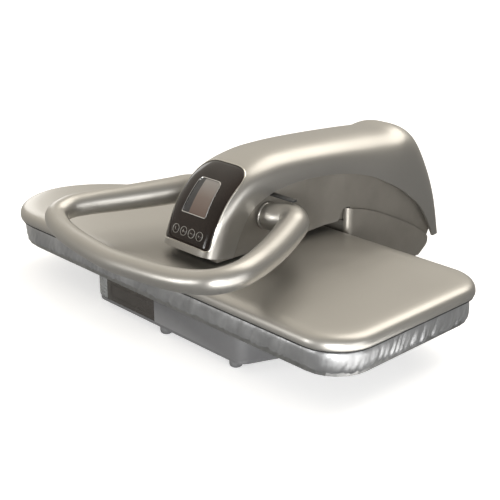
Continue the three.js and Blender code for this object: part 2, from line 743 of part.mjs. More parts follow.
function pivotBoss(side) {
  const taper = (handlePivotY + bossRadius - 40) / (towerFront + 14 - 40);
  const wall = lowerHeadHalf + (lowerRearHalf - lowerHeadHalf) * taper;
  const [x0, x1] = side > 0 ? [wall + gap, bossFace] : [-bossFace, -wall - gap];
  return ring(bossRadius, handleShaftRadius + gap, x0, x1, handlePivotY, handlePivotZ, 24);
}

// ---------------------------------------------------------------- handle
// Centre line of the right half of the loop, from the middle of the grip to the arm.
const handleHalf = [
  [0, -63, 29], [45, -60, 30], [88, -55, 31.5], [122, -48, 34.5], [148, -36, 39], [157, -12, 42],
  [152, 15, 43], [139, 50, 43.5], [123, 86, 45], [107, 118, 47.5], [98, 134, 49.5], [85, 143, 50],
  [71, 142.5, 48.5], [60, handlePivotY + 0.8, handlePivotRise + 0.8],
  [bossFace + gap, handlePivotY, handlePivotRise],
];
const gripRadius = 13;
const elbowRadius = 18;

function handleLoop() {
  const right = handleHalf.map(([x, y, rise]) => new THREE.Vector3(x, y, shellTop + rise));
  const left = right.slice(1).reverse().map((p) => new THREE.Vector3(-p.x, p.y, p.z));
  const curve = new THREE.CatmullRomCurve3([...left, ...right]);
  const radiusAt = (way) => {
    const out = Math.abs(way - 0.5) * 2;
    const swell = THREE.MathUtils.smoothstep(out, 0.15, 0.95);
    const neck = THREE.MathUtils.smoothstep(out, 0.95, 1);
    return gripRadius + (elbowRadius - gripRadius) * swell - neck;
  };
  const between = box(-bossFace - gap, bossFace + gap, handlePivotY - 40, handlePivotY + 50,
    handlePivotZ - 50, handlePivotZ + 60);
  return cut(tube(curve, 60, radiusAt, 12), between);
}

function pressureCam() {
  const disc = bar(17, -8, 8, handlePivotY, handlePivotZ + 5);
  return cut(disc, bar(handleShaftRadius + gap, -9, 9, handlePivotY, handlePivotZ));
}

function lockTab(clearance) {
  const z = handlePivotZ + 23;
  return box(40 - clearance, 84 + clearance, handlePivotY + 7 - clearance, handlePivotY + 14 + clearance,
    z - clearance, z + 3 + clearance);
}

// ---------------------------------------------------------------- assembly
const paint = { color: 0xa8a49c, roughness: 0.36, metalness: 0.75 };
const darkPaint = { color: 0x6d6b68, roughness: 0.5, metalness: 0.45 };
const greyPlastic = { color: 0x757575, roughness: 0.6, metalness: 0 };
const blackPlastic = { color: 0x1c1b1a, roughness: 0.55, metalness: 0 };
const steel = { color: 0x9a9ea2, roughness: 0.4, metalness: 0.9 };
const aluminium = { color: 0xb9bcbe, roughness: 0.35, metalness: 0.9 };
const cloth = { color: 0xa9aaac, roughness: 0.6, metalness: 0.3 };
const felt = { color: 0xd8d2c4, roughness: 0.95, metalness: 0 };
const rubber = { color: 0x242424, roughness: 0.85, metalness: 0 };
const gloss = { color: 0x1b1512, roughness: 0.08, metalness: 0 };
const chrome = { color: 0xd5d5d2, roughness: 0.12, metalness: 1 };
const smoky = { color: 0x2c2926, roughness: 0.12, metalness: 0 };
const glassy = { color: 0x5d544d, roughness: 0.15, metalness: 0 };
const board = { color: 0x24583a, roughness: 0.5, metalness: 0 };
const brass = { color: 0xb08d4c, roughness: 0.35, metalness: 0.9 };

const object = new THREE.Group();

function add(name, geometry, look) {
  const mesh = new THREE.Mesh(geometry, new THREE.MeshStandardMaterial(look));
  mesh.name = name;
  object.add(mesh);
}

add('base_housing', baseHousing(), greyPlastic);
add('base_bottom_cover', floorPlate(1, coverZ, coverZ + bottomCoverThickness), greyPlastic);
add('chassis_plate', floorPlate(5, chassisZ, chassisZ + chassisThickness), steel);
const feet = {
  foot_front_left: [-13, 25], foot_front_right: [112, 26], foot_middle_left: [-125, baseBack - 27],
  foot_middle_right: [160, baseBack - 27],
  foot_rear_left: [-42, hingeY - 10], foot_rear_right: [42, hingeY - 10],
};
for (const [name, [x, y]] of Object.entries(feet)) add(name, foot(x, y), greyPlastic);
add('board_tray', boardTray(), steel);
add('board_pad', boardPad(), felt);
add('board_cover', boardCover(), cloth);
add('tower_housing', towerHousing(), darkPaint);
add('hinge_bracket_left', hingeBracket(-1), steel);
add('hinge_bracket_right', hingeBracket(1), steel);
add('hinge_shaft', bar(shaftRadius, -frameHalf - 9, frameHalf + 9, hingeY, hingeZ), steel);
add('water_pump', pump(), blackPlastic);
add('filter_cartridge', filterCartridge(), felt);
add('tank_socket', ring(valveRadius + 4, valveRadius + gap, tankRight + 3.3, tankRight + 14, valveY, valveZ), rubber);
add('power_board', powerBoard(), board);
add('mains_inlet', mainsInlet(), blackPlastic);
add('switch_frame', switchFrame(), blackPlastic);
add('power_switch', powerRocker(), blackPlastic);

add('water_tank', waterTank(), smoky);
add('tank_end', tankEnd(), greyPlastic);
add('tank_valve', tankValve(), rubber);

add('arm_top_cover', armTopCover(), paint);
add('arm_lower_cover', armLowerCover(), darkPaint);
add('arm_frame', armFrame(), steel);
add('hinge_bush_left', hingeBush(-1), brass);
add('hinge_bush_right', hingeBush(1), brass);
add('counter_spring_left', counterSpring(-1), steel);
add('counter_spring_right', counterSpring(1), steel);
add('pivot_boss_left', pivotBoss(-1), darkPaint);
add('pivot_boss_right', pivotBoss(1), darkPaint);
add('plate_pivot_pin', bar(platePinRadius, -frameHalf, frameHalf, platePivotY, platePivotZ, 16), steel);
add('lock_tab', lockTab(0), blackPlastic);
add('control_panel', controlPanel(), gloss);
add('display_bezel', displayBezel(), chrome);
add('display_window', displayWindow(), glassy);
add('control_board', controlBoard(), board);
keyPlaces.forEach((x, i) => add(`key_${i + 1}`, keyBar(x, keyRadius, 0, 5), gloss));

add('handle_loop', handleLoop(), paint);
add('handle_shaft', bar(handleShaftRadius, -bossFace, bossFace, handlePivotY, handlePivotZ), steel);
add('pressure_cam', pressureCam(), steel);

add('plate_shell', plateShell(), paint);
add('plate_seal', plateSeal(), rubber);
add('sole_plate', plateSlab(0.8 + sealWidth + gap, soleZ, soleTop), aluminium);
add('heating_element', heatingElement(), steel);
add('steam_chamber_cover', box(-75, 75, 84, 184, soleTop + gap, soleTop + gap + 5), aluminium);
add('thermostat', post(9, 150, platePivotY, soleTop + gap, soleTop + gap + 5.5), blackPlastic);
add('plate_yoke', plateYoke(), steel);

// The origin is the middle of the object's footprint, on the table.
object.updateMatrixWorld(true);
const extent = new THREE.Box3().setFromObject(object, true);
const middle = extent.getCenter(new THREE.Vector3());
object.position.set(-middle.x, -middle.y, -extent.min.z);

export default object;
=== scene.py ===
"""Tabletop ironing press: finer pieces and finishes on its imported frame."""

import json
import math

import bmesh
import bpy
import numpy as np
from bpy.props import FloatProperty, FloatVectorProperty, IntProperty, PointerProperty
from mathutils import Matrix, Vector, noise
from mathutils.bvhtree import BVHTree


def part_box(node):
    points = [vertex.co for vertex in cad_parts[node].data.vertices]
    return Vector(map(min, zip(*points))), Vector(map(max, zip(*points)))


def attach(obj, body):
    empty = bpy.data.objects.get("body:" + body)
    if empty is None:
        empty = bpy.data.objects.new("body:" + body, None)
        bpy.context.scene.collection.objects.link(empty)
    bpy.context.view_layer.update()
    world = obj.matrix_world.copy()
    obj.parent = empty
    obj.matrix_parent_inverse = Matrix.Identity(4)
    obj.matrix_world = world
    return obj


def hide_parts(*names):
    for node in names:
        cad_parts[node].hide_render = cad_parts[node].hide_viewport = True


bl_info = {
    "name": "Ironing press",
    "version": (1, 0, 0),
    "blender": (4, 5, 0),
    "location": "3D View > Sidebar > Press",
    "description": "Builds the visible pieces of a tabletop ironing press",
    "category": "Object",
}

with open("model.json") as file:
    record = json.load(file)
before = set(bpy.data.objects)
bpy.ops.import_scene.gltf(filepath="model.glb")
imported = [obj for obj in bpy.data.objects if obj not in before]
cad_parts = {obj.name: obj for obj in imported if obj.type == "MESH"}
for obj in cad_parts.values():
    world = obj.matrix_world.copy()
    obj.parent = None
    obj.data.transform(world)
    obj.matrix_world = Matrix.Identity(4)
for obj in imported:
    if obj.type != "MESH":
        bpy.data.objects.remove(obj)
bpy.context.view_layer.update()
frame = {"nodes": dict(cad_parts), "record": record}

MM = 0.001
SHELL_LOW, SHELL_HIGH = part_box("plate_shell")
SHAFT_LOW, SHAFT_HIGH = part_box("handle_shaft")
COVER_LOW, COVER_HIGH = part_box("board_cover")
HINGE_LOW, HINGE_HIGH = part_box("hinge_shaft")
ARM_X = (SHAFT_LOW.x + SHAFT_HIGH.x) / 2  # middle of the arm
PLATE_Y = SHELL_LOW.y  # front edge of the plate
SHELL_TOP = SHELL_HIGH.z / MM
SHELL_FOOT = SHELL_LOW.z / MM
PLATE_RIGHT = (SHELL_HIGH.x - ARM_X) / MM
PLATE_LEFT = (SHELL_LOW.x - ARM_X) / MM
PLATE_DEPTH = (SHELL_HIGH.y - PLATE_Y) / MM
HINGE_Y = ((HINGE_LOW.y + HINGE_HIGH.y) / 2 - PLATE_Y) / MM
HINGE_Z = (HINGE_LOW.z + HINGE_HIGH.z) / 2 / MM
PIVOT_Y = ((SHAFT_LOW.y + SHAFT_HIGH.y) / 2 - PLATE_Y) / MM
PIVOT_Z = (SHAFT_LOW.z + SHAFT_HIGH.z) / 2 / MM
BOARD_FOOT, BOARD_TOP = COVER_LOW.z / MM, COVER_HIGH.z / MM


# ---------------------------------------------------------------- sizes and colours
def number(name, text, default, low, high, **unit):
    return FloatProperty(name=name, description=text, default=default, min=low, max=high, **unit)


def length(name, text, default, low, high):
    return number(name, text, default, low, high, unit="LENGTH")


def paint(name, text, default):
    return FloatVectorProperty(name=name, description=text, subtype="COLOR", size=3, min=0, max=1, default=default)


class PressPlateSettings(bpy.types.PropertyGroup):
    """Sizes and colour of the upper plate."""

    edge_round: number("Edge round", "How far the top edge is rounded in, mm", 17.0, 8.0, 24.0)
    crown: number("Crown", "Rise of the plate's middle over its edge, mm", 0.9, 0.0, 2.0)
    vent_pitch: length("Vent pitch", "Distance between steam vents", 0.021, 0.008, 0.06)
    vent_radius: length("Vent radius", "Radius of a steam vent", 0.0016, 0.0005, 0.004)
    colour: paint("Paint", "Silver paint of plate, arm and handle", (0.405, 0.390, 0.360))


class PressCoverSettings(bpy.types.PropertyGroup):
    """Sizes and colour of the padded board's cover."""

    gather_depth: number("Gather depth", "Depth of the gathers at the hem, mm", 2.1, 0.0, 3.0)
    hem_width: number("Hem width", "Cloth turned under the board, mm", 26.0, 10.0, 45.0)
    stitch_pitch: length("Stitch pitch", "Distance between stitches", 0.0042, 0.002, 0.01)
    stitch_length: length("Stitch length", "Length of one stitch", 0.0026, 0.001, 0.006)
    colour: paint("Cloth", "Metallised cloth", (0.34, 0.342, 0.345))


class PressHandleSettings(bpy.types.PropertyGroup):
    """Sizes of the loop handle."""

    grip_radius: number("Grip radius", "Radius at the middle of the grip, mm", 13.0, 9.0, 18.0)
    elbow_radius: number("Elbow radius", "Radius at the elbows, mm", 18.0, 12.0, 22.0)
    sides: IntProperty(name="Sides", description="Facets round the loop", default=44, min=16, max=96)


class PressBodySettings(bpy.types.PropertyGroup):
    """Edge size and colours of the housing, tower and panel."""

    edge: length("Edge", "Radius of moulded edges", 0.0011, 0.0002, 0.003)
    grey: paint("Housing", "Grey of the base", (0.072, 0.072, 0.074))
    # Darker copy of the silver paint: painted shade on tower and arm lining.
    dark: paint("Tower", "Warm grey of tower and arm lining", (0.235, 0.218, 0.190))
    panel: paint("Panel", "Gloss control panel", (0.014, 0.010, 0.008))
    screw_radius: length("Screw radius", "Radius of a screw head", 0.0036, 0.001, 0.006)


class PressSpringSettings(bpy.types.PropertyGroup):
    """Sizes of the counter springs."""

    turns: number("Turns", "Turns of wire in one spring", 4.0, 2.0, 9.0)
    wire: length("Wire", "Radius of the wire", 0.0019, 0.0005, 0.003)


# ---------------------------------------------------------------- materials
class Finish:
    """A principled material with helpers for its pattern."""

    def __init__(self, name, colour, roughness, metallic=0.0, **fixed):
        self.material = bpy.data.materials.new(name)
        self.material.use_nodes = True
        self.tree = self.material.node_tree
        self.tree.nodes.clear()
        self.shader = self.node("ShaderNodeBsdfPrincipled")
        output = self.node("ShaderNodeOutputMaterial")
        self.join(self.shader.outputs["BSDF"], output.inputs["Surface"])
        self.colour = tuple(colour)[:3]
        self.shader.inputs["Base Color"].default_value = (*self.colour, 1)
        self.shader.inputs["Roughness"].default_value = roughness
        self.shader.inputs["Metallic"].default_value = metallic
        for key, value in fixed.items():
            self.shader.inputs[key.replace("_", " ")].default_value = value
        self.place = self.node("ShaderNodeTexCoord").outputs["Object"]
        self.material.diffuse_color = (*self.colour, 1)
        self.normal = None

    def node(self, kind, **settings):
        made = self.tree.nodes.new(kind)
        for key, value in settings.items():
            setattr(made, key, value)
        return made

    def join(self, start, end):
        self.tree.links.new(start, end)

    def noise(self, scale, detail=3.0, stretch=(1, 1, 1), roughness=0.55, distortion=0.0):
        made = self.node("ShaderNodeTexNoise")
        sizes = {"Scale": scale, "Detail": detail, "Roughness": roughness, "Distortion": distortion}
        for key, value in sizes.items():
            made.inputs[key].default_value = value
        place = self.place
        if stretch != (1, 1, 1):
            mapping = self.node("ShaderNodeMapping")
            mapping.inputs["Scale"].default_value = stretch
            self.join(place, mapping.inputs["Vector"])
            place = mapping.outputs["Vector"]
        self.join(place, made.inputs["Vector"])
        return made.outputs["Fac"]

    def cells(self, scale, feature="F1"):
        made = self.node("ShaderNodeTexVoronoi", feature=feature)
        made.inputs["Scale"].default_value = scale
        self.join(self.place, made.inputs["Vector"])
        return made.outputs["Distance"]

    def waves(self, scale, direction):
        made = self.node("ShaderNodeTexWave", bands_direction=direction)
        made.inputs["Scale"].default_value = scale
        self.join(self.place, made.inputs["Vector"])
        return made.outputs["Fac"]

    def pattern(self, kind, *sizes):
        return getattr(self, kind)(*sizes)

    def levels(self, source, low, high, start=0.0, end=1.0):
        made = self.node("ShaderNodeMapRange")
        for key, value in (("From Min", start), ("From Max", end), ("To Min", low), ("To Max", high)):
            made.inputs[key].default_value = value
        self.join(source, made.inputs["Value"])
        return made.outputs["Result"]

    def tones(self, source, *stops):
        """Base colour from a pattern: stops are (place, factor of the colour or a colour)."""
        made = self.node("ShaderNodeValToRGB")
        ramp = made.color_ramp
        while len(ramp.elements) < len(stops):
            ramp.elements.new(0.5)
        for element, (place, tone) in zip(ramp.elements, stops):
            element.position = place
            shade = tone if hasattr(tone, "__len__") else [c * tone for c in self.colour]
            element.color = (*shade, 1)
        self.join(source, made.inputs["Fac"])
        self.join(made.outputs["Color"], self.shader.inputs["Base Color"])
        return made

    def roughness(self, source, low, high):
        self.join(self.levels(source, low, high, 0.3, 0.7), self.shader.inputs["Roughness"])

    def bump(self, source, distance, strength):
        made = self.node("ShaderNodeBump")
        made.inputs["Distance"].default_value = distance
        made.inputs["Strength"].default_value = strength
        self.join(source, made.inputs["Height"])
        if self.normal:
            self.join(self.normal, made.inputs["Normal"])
        self.normal = made.outputs["Normal"]
        self.join(self.normal, self.shader.inputs["Normal"])

    def paint_edge_highlight(self, lighter, amount):
        """Lightens sharp edges: a painted highlight along them."""
        point = self.node("ShaderNodeNewGeometry").outputs["Pointiness"]
        mix = self.node("ShaderNodeMix", data_type="RGBA")
        socket = self.shader.inputs["Base Color"]
        self.join(socket.links[0].from_socket, mix.inputs["A"])
        mix.inputs["B"].default_value = (*lighter, 1)
        self.join(self.levels(point, 0.0, amount, 0.52, 0.60), mix.inputs["Factor"])
        self.join(mix.outputs["Result"], socket)


def patterned(name, colour, roughness, metallic, tones, rough, bumps, edge_highlight_row=(), **fixed):
    """A finish from its row below; a pattern is the name of a Finish method and its sizes."""
    if isinstance(colour[0], str):
        colour = getattr(settings(colour[0]), colour[1])
    made = Finish(name, colour, roughness, metallic, **fixed)
    source, *stops = tones
    made.tones(made.pattern(*source), *stops)
    if rough:
        source, low, high = rough
        made.roughness(made.pattern(*source), low, high)
    for source, distance, strength in bumps:
        made.bump(made.pattern(*source), distance, strength)
    if edge_highlight_row:
        made.paint_edge_highlight(*edge_highlight_row)
    return made


def metallised_cloth():
    made = Finish("metallised_cloth", settings("cover").colour, 0.34, 0.86, Sheen_Weight=0.1)
    crinkle = made.noise(46, 5, (1, 1, 0.5), 0.55, 0.4)
    made.tones(crinkle, (0.30, 0.80), (0.52, 1.0), (0.72, 1.25))
    made.roughness(made.noise(55, 4), 0.30, 0.44)
    made.bump(crinkle, 0.0024, 0.42)
    made.bump(made.noise(150, 4, (1, 1, 0.6), 0.6, 0.5), 0.0006, 0.22)
    weave = made.node("ShaderNodeMath", operation="MAXIMUM")
    made.join(made.waves(640, "DIAGONAL"), weave.inputs[0])
    made.join(made.waves(640, "Z"), weave.inputs[1])
    made.bump(weave.outputs[0], 0.00010, 0.16)
    return made


def display_glass():
    """Grey-brown screen, paler at its top, with a dark strip on its left."""
    made = Finish("display_glass", (0.10, 0.078, 0.066), 0.10, Coat_Weight=0.5, Coat_Roughness=0.04)
    low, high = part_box("display_window")
    split = made.node("ShaderNodeSeparateXYZ")
    made.join(made.place, split.inputs["Vector"])
    fall = made.levels(split.outputs["Z"], 0.0, 1.0, low.z, high.z)
    foot, middle, head = (0.085, 0.056, 0.044), (0.120, 0.090, 0.075), (0.19, 0.175, 0.16)
    ramp = made.tones(fall, (0.0, foot), (0.55, middle), (1.0, head))
    strip = made.levels(split.outputs["X"], 1.0, 0.0, ARM_X - 0.0095, ARM_X - 0.0085)
    mix = made.node("ShaderNodeMix", data_type="RGBA")
    mix.inputs["B"].default_value = (0.020, 0.020, 0.021, 1)
    made.join(strip, mix.inputs["Factor"])
    made.join(ramp.outputs["Color"], mix.inputs["A"])
    made.join(mix.outputs["Result"], made.shader.inputs["Base Color"])
    made.roughness(made.noise(200, 3), 0.08, 0.16)
    made.bump(made.cells(2400), 0.00001, 0.3)
    return made


# Rows: name, colour, roughness, metallic; tones; roughness; bumps; lighter sharp edges, a painted highlight; fixed
# inputs of the shader.
# Keys are the record's material slots, and the names the pieces below ask for.
FINISH_ROWS = {
    "silver_paint": (("silver_paint_satin", ("plate", "colour"), 0.36, 0.88,
         (("cells", 5200), (0.0, 0.93), (0.55, 1.0), (1.0, 1.08)),
         (("noise", 9, 4), 0.33, 0.41), ((("cells", 5200), 0.00001, 0.25), (("noise", 420, 2), 0.00003, 0.16))),
         {"Coat_Weight": 0.25, "Coat_Roughness": 0.22}),
    # Darker copy of the silver paint that stands for its shade: painted shade on tower, arm lining, cheeks, hinge guard
    # and sill.
    "dark_paint": (("dark_warm_satin", ("body", "dark"), 0.4, 0.62, (("noise", 26, 4), (0.3, 0.93), (0.7, 1.07)),
         (("noise", 70, 3), 0.34, 0.44), ((("noise", 2600, 2), 0.00002, 0.35),), ((0.3, 0.29, 0.27), 0.3)), {}),
    # This row and the dark_paint row above end with lighter sharp edges: a painted highlight.
    "grey_plastic": (("grey_moulded_plastic", ("body", "grey"), 0.52, 0.0, (("noise", 14, 5), (0.3, 0.94), (0.7, 1.06)),
         (("noise", 90, 3), 0.48, 0.6), ((("cells", 1500), 0.00005, 0.4),), ((0.24, 0.24, 0.24), 0.45)), {}),
    "black_plastic": (("black_moulded_plastic", (0.018, 0.018, 0.018), 0.42, 0.0,
         (("noise", 60, 3), (0.3, 0.8), (0.7, 1.25)),
         (("noise", 120, 3), 0.36, 0.5), ((("cells", 1900), 0.00004, 0.4),)), {}),
    "steel": (("zinc_plated_steel", (0.42, 0.42, 0.41), 0.34, 1.0, (("cells", 130), (0.0, 0.85), (1.0, 1.12)),
         (("noise", 300, 4, (1, 9, 1)), 0.28, 0.44), ((("noise", 700, 3, (1, 14, 1)), 0.00002, 0.4),)), {}),
    "aluminium": (("cast_aluminium", (0.62, 0.63, 0.64), 0.34, 1.0, (("noise", 38, 4), (0.3, 0.93), (0.7, 1.04)),
         (("noise", 240, 4, (1, 12, 1)), 0.28, 0.42), ((("noise", 900, 3, (1, 30, 1)), 0.00002, 0.35),)), {}),
    "felt": (("needled_felt", (0.62, 0.58, 0.5), 0.95, 0.0, (("noise", 900, 5, (1, 3, 1), 0.7), (0.3, 0.8), (0.7, 1.1)),
         (), ((("noise", 900, 5, (1, 3, 1), 0.7), 0.0004, 0.6),)), {"Sheen_Weight": 0.5}),
    "rubber": (("black_rubber", (0.012, 0.012, 0.012), 0.62, 0.0, (("noise", 80, 3), (0.3, 0.8), (0.7, 1.3)),
         (("noise", 300, 3), 0.56, 0.72), ((("noise", 1500, 3), 0.00004, 0.5),)), {}),
    "gloss_panel": (("gloss_panel", ("body", "panel"), 0.09, 0.0, (("noise", 22, 3), (0.3, 0.75), (0.7, 1.3)),
         (("noise", 60, 4), 0.07, 0.13), ((("noise", 45, 2), 0.00008, 0.1),)),
         {"Specular_IOR_Level": 0.28, "Coat_Weight": 0.15, "Coat_Roughness": 0.04}),
    "chrome": (("polished_chrome", (0.78, 0.77, 0.75), 0.12, 1.0, (("noise", 120, 3), (0.3, 0.94), (0.7, 1.04)),
         (("noise", 400, 3), 0.08, 0.18), ((("noise", 900, 2), 0.00001, 0.3),)), {}),
    # Paler metal than the silver paint for the ring round the panel: a painted highlight along the panel's edge.
    "bright_rim": (("bright_rim_lacquer", (0.66, 0.63, 0.57), 0.2, 0.9, (("noise", 150, 3), (0.3, 0.9), (0.7, 1.05)),
         (("noise", 350, 3), 0.16, 0.28), ((("noise", 1200, 2), 0.00001, 0.3),)), {}),
    "smoky_plastic": (("smoky_tank_plastic", (0.06, 0.054, 0.048), 0.08, 0.0,
         (("noise", 24, 3, (1, 1, 0.5)), (0.3, 0.8), (0.7, 1.25)),
         (("noise", 60, 3), 0.16, 0.26), ((("noise", 30, 2), 0.0003, 0.15),)),
         {"Transmission_Weight": 0.45, "IOR": 1.46}),
    "pale_plastic": (("pale_translucent_plastic", (0.15, 0.152, 0.15), 0.26, 0.0,
         (("noise", 40, 3), (0.3, 0.88), (0.7, 1.08)),
         (("noise", 110, 3), 0.2, 0.34), ((("noise", 700, 3), 0.00004, 0.35),)),
         {"Transmission_Weight": 0.12, "IOR": 1.46}),
    "key_mark": (("printed_grey", (0.3, 0.285, 0.26), 0.35, 0.0, (("noise", 800, 3), (0.3, 0.8), (0.7, 1.15)),
         (), ((("noise", 2000, 2), 0.00001, 0.3),)), {}),
    "circuit_board": (("green_board", (0.03, 0.12, 0.06), 0.35, 0.0,
         (("cells", 420, "F2"), (0.1, (0.32, 0.25, 0.1)), (0.22, 1.0), (1.0, 0.8)),
         (), ((("cells", 420), 0.0001, 0.4),)), {}),
    "brass": (("turned_brass", (0.55, 0.4, 0.17), 0.32, 1.0, (("noise", 90, 3), (0.3, 0.9), (0.7, 1.05)),
         (("noise", 500, 3, (14, 1, 1)), 0.26, 0.4), ((("noise", 800, 2, (20, 1, 1)), 0.00002, 0.4),)), {}),
    "thread": (("grey_thread", (0.22, 0.22, 0.225), 0.7, 0.0, (("noise", 1800, 2), (0.3, 0.7), (0.7, 1.2)),
         (), ((("waves", 2200, "DIAGONAL"), 0.0001, 0.5),)), {}),
    "shadow_black": (("vent_black", (0.01, 0.01, 0.01), 0.8, 0.0, (("noise", 600, 2), (0.3, 0.7), (0.7, 1.3)),
         (), ((("noise", 1800, 2), 0.00002, 0.4),)), {}),
}
STAGE_ROW = ((0.93, 0.93, 0.93), 0.8, 0.0, (("noise", 3, 3), (0.3, 0.99), (0.7, 1.01)), (),
             ((("noise", 200, 3), 0.0001, 0.1),))
for key, name, glow in (("studio_floor", "pale_floor", 0.45), ("bright_card", "bright_card", 2.4)):
    FINISH_ROWS[key] = ((name, *STAGE_ROW), {"Emission_Color": (1, 1, 1, 1), "Emission_Strength": glow})
FINISH_MAKERS = {"metallised_cloth": metallised_cloth, "display_glass": display_glass}
# The record's slots that carry over onto frame nodes kept as they are.
SLOT_FINISH = {"plate_paint": "silver_paint"}
FINISHES = {}


def finish(name):
    """The material of that name, made the first time it is asked for."""
    if name not in FINISHES:
        if name in FINISH_MAKERS:
            made = FINISH_MAKERS[name]()
        else:
            row, fixed = FINISH_ROWS[name]
            made = patterned(*row, **fixed)
        FINISHES[name] = made.material
    return FINISHES[name]


# ---------------------------------------------------------------- shapes, in millimetres about arm and plate edge
def settings(part):
    return getattr(bpy.context.scene, "press_" + part)


def seat(points):
    """Moves points from the maker's frame, in millimetres, into the row frame, in metres."""
    return np.asarray(points, float) * MM + np.array([ARM_X, PLATE_Y, 0.0])


def mesh_piece(name, vertices, faces, material, outward=True):
    """A closed mesh piece with smooth faces."""
    mesh = bpy.data.meshes.new(name)
    mesh.from_pydata([tuple(v) for v in vertices], [], faces)
    made = bpy.data.objects.new(name, mesh)
    bpy.context.scene.collection.objects.link(made)
    mesh.materials.append(finish(material))
    if outward:
        turn_outward(made)
    smooth(made)
    return made


def turn_outward(piece):
    work = bmesh.new()
    work.from_mesh(piece.data)
    bmesh.ops.remove_doubles(work, verts=work.verts, dist=1e-7)
    bmesh.ops.recalc_face_normals(work, faces=work.faces)
    work.to_mesh(piece.data)
    work.free()


def smooth(piece, degrees=32):
    piece.data.polygons.foreach_set("use_smooth", [True] * len(piece.data.polygons))
    piece.data.set_sharp_from_angle(angle=math.radians(degrees))
    piece.data.update()


def bake_modifiers(piece):
    """Turns the evaluated piece into a plain mesh and drops its modifiers."""
    graph = bpy.context.evaluated_depsgraph_get()
    made = bpy.data.meshes.new_from_object(piece.evaluated_get(graph), preserve_all_data_layers=True, depsgraph=graph)
    old = piece.data
    piece.modifiers.clear()
    piece.data = made
    bpy.data.meshes.remove(old)
    made.name = piece.name
    return piece


def cut(piece, *cutters):
    for cutter in cutters:
        tool = piece.modifiers.new("cut", "BOOLEAN")
        tool.operation, tool.solver, tool.object = "DIFFERENCE", "EXACT", cutter
    bake_modifiers(piece)
    for cutter in cutters:
        mesh = cutter.data
        bpy.data.objects.remove(cutter)
        bpy.data.meshes.remove(mesh)
    return piece


def seated(piece, body, replaces=()):
    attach(piece, body)
    if replaces:
        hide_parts(*replaces)
    return piece


def loop_faces(rings, count, closed_along=False, start_cap=False, end_cap=False):
    """Quads through rings of equal count; a cap is a fan to an extra vertex after the rings."""
    faces = []
    for a in range(rings if closed_along else rings - 1):
        b = (a + 1) % rings
        for i in range(count):
            j = (i + 1) % count
            faces.append((a * count + i, a * count + j, b * count + j, b * count + i))
    extra = rings * count
    if start_cap:
        faces += [(extra, (i + 1) % count, i) for i in range(count)]
        extra += 1
    if end_cap:
        low = (rings - 1) * count
        faces += [(extra, low + i, low + (i + 1) % count) for i in range(count)]
    return faces


def lofted(name, rings, material, start_cap=True, end_cap=True, closed_along=False):
    rings = [np.asarray(r, float) for r in rings]
    points = list(np.concatenate(rings))
    if start_cap:
        points.append(rings[0].mean(0))
    if end_cap:
        points.append(rings[-1].mean(0))
    faces = loop_faces(len(rings), len(rings[0]), closed_along, start_cap, end_cap)
    return mesh_piece(name, seat(points), faces, material)


def evenly(points, count):
    """Points at equal distances round a closed outline."""
    closed = np.vstack([points, points[:1]])
    run = np.concatenate([[0], np.cumsum(np.linalg.norm(np.diff(closed, axis=0), axis=1))])
    at = np.linspace(0, run[-1], count, endpoint=False)
    return np.stack([np.interp(at, run, closed[:, k]) for k in range(closed.shape[1])], 1)


def quarter(cx, cy, rx, ry, start, steps, power=2.0):
    angle = start + (math.pi / 2) * np.linspace(0, 1, steps + 1)
    c, s = np.cos(angle), np.sin(angle)
    across = cx + rx * np.sign(c) * np.abs(c) ** (2 / power)
    along = cy + ry * np.sign(s) * np.abs(s) ** (2 / power)
    return np.stack([across, along], 1)


def level(outline, height):
    """An outline laid at a height."""
    return np.column_stack([outline, np.full(len(outline), float(height))])


def shrunk(outline, share):
    """An outline drawn in towards the middle of the plate."""
    middle = np.array([(PLATE_LEFT + PLATE_RIGHT) / 2, PLATE_DEPTH / 2])
    return middle + (outline - middle) * share


def circle(centre, side, other, radius, sides):
    """Points round a centre, in the plane of two directions."""
    angle = 2 * np.pi * np.arange(sides) / sides
    return centre + radius * (np.cos(angle)[:, None] * side + np.sin(angle)[:, None] * other)


def plate_outline(inset, count):
    """Outline shared by plate, seal and board: square end right, pointed end left."""
    corner, nose_line, nose_back, nose_front, fullness = 52.0, 93.0, 303.0, 95.0, 1.86
    radius, turn = corner - inset, math.pi / 2
    parts = [
        quarter(PLATE_RIGHT - corner, corner, radius, radius, -turn, 24),
        quarter(PLATE_RIGHT - corner, PLATE_DEPTH - corner, radius, radius, 0, 24),
        quarter(PLATE_LEFT + nose_back, nose_line, nose_back - inset, PLATE_DEPTH - nose_line - inset, turn, 200, fullness),
        quarter(PLATE_LEFT + nose_front, nose_line, nose_front - inset, nose_line - inset, 2 * turn, 60),
    ]
    return evenly(np.concatenate(parts), count)


def rounded_outline(corners, count, inset=0.0):
    """Convex outline from (x, y, radius) corners, counter-clockwise."""
    total, points = len(corners), []
    for i, (x, y, radius) in enumerate(corners):
        here = np.array([x, y], float)
        before = np.array(corners[i - 1][:2], float)
        after = np.array(corners[(i + 1) % total][:2], float)
        come, go = here - before, after - here
        come, go = come / np.linalg.norm(come), go / np.linalg.norm(go)
        left_in, left_out = np.array([-come[1], come[0]]), np.array([-go[1], go[0]])
        cross = come[0] * go[1] - come[1] * go[0]
        tip_from = here + left_in * inset
        other = here + left_out * inset
        gap = other - tip_from
        tip = tip_from + come * ((gap[0] * go[1] - gap[1] * go[0]) / cross)
        size = max(radius - inset, 0.4)
        back = size * math.tan(math.asin(min(1.0, abs(cross))) / 2)
        start, end = tip - come * back, tip + go * back
        for t in np.linspace(0, 1, 12):
            points.append((1 - t) ** 2 * start + 2 * t * (1 - t) * tip + t * t * end)
    return evenly(np.array(points), count)


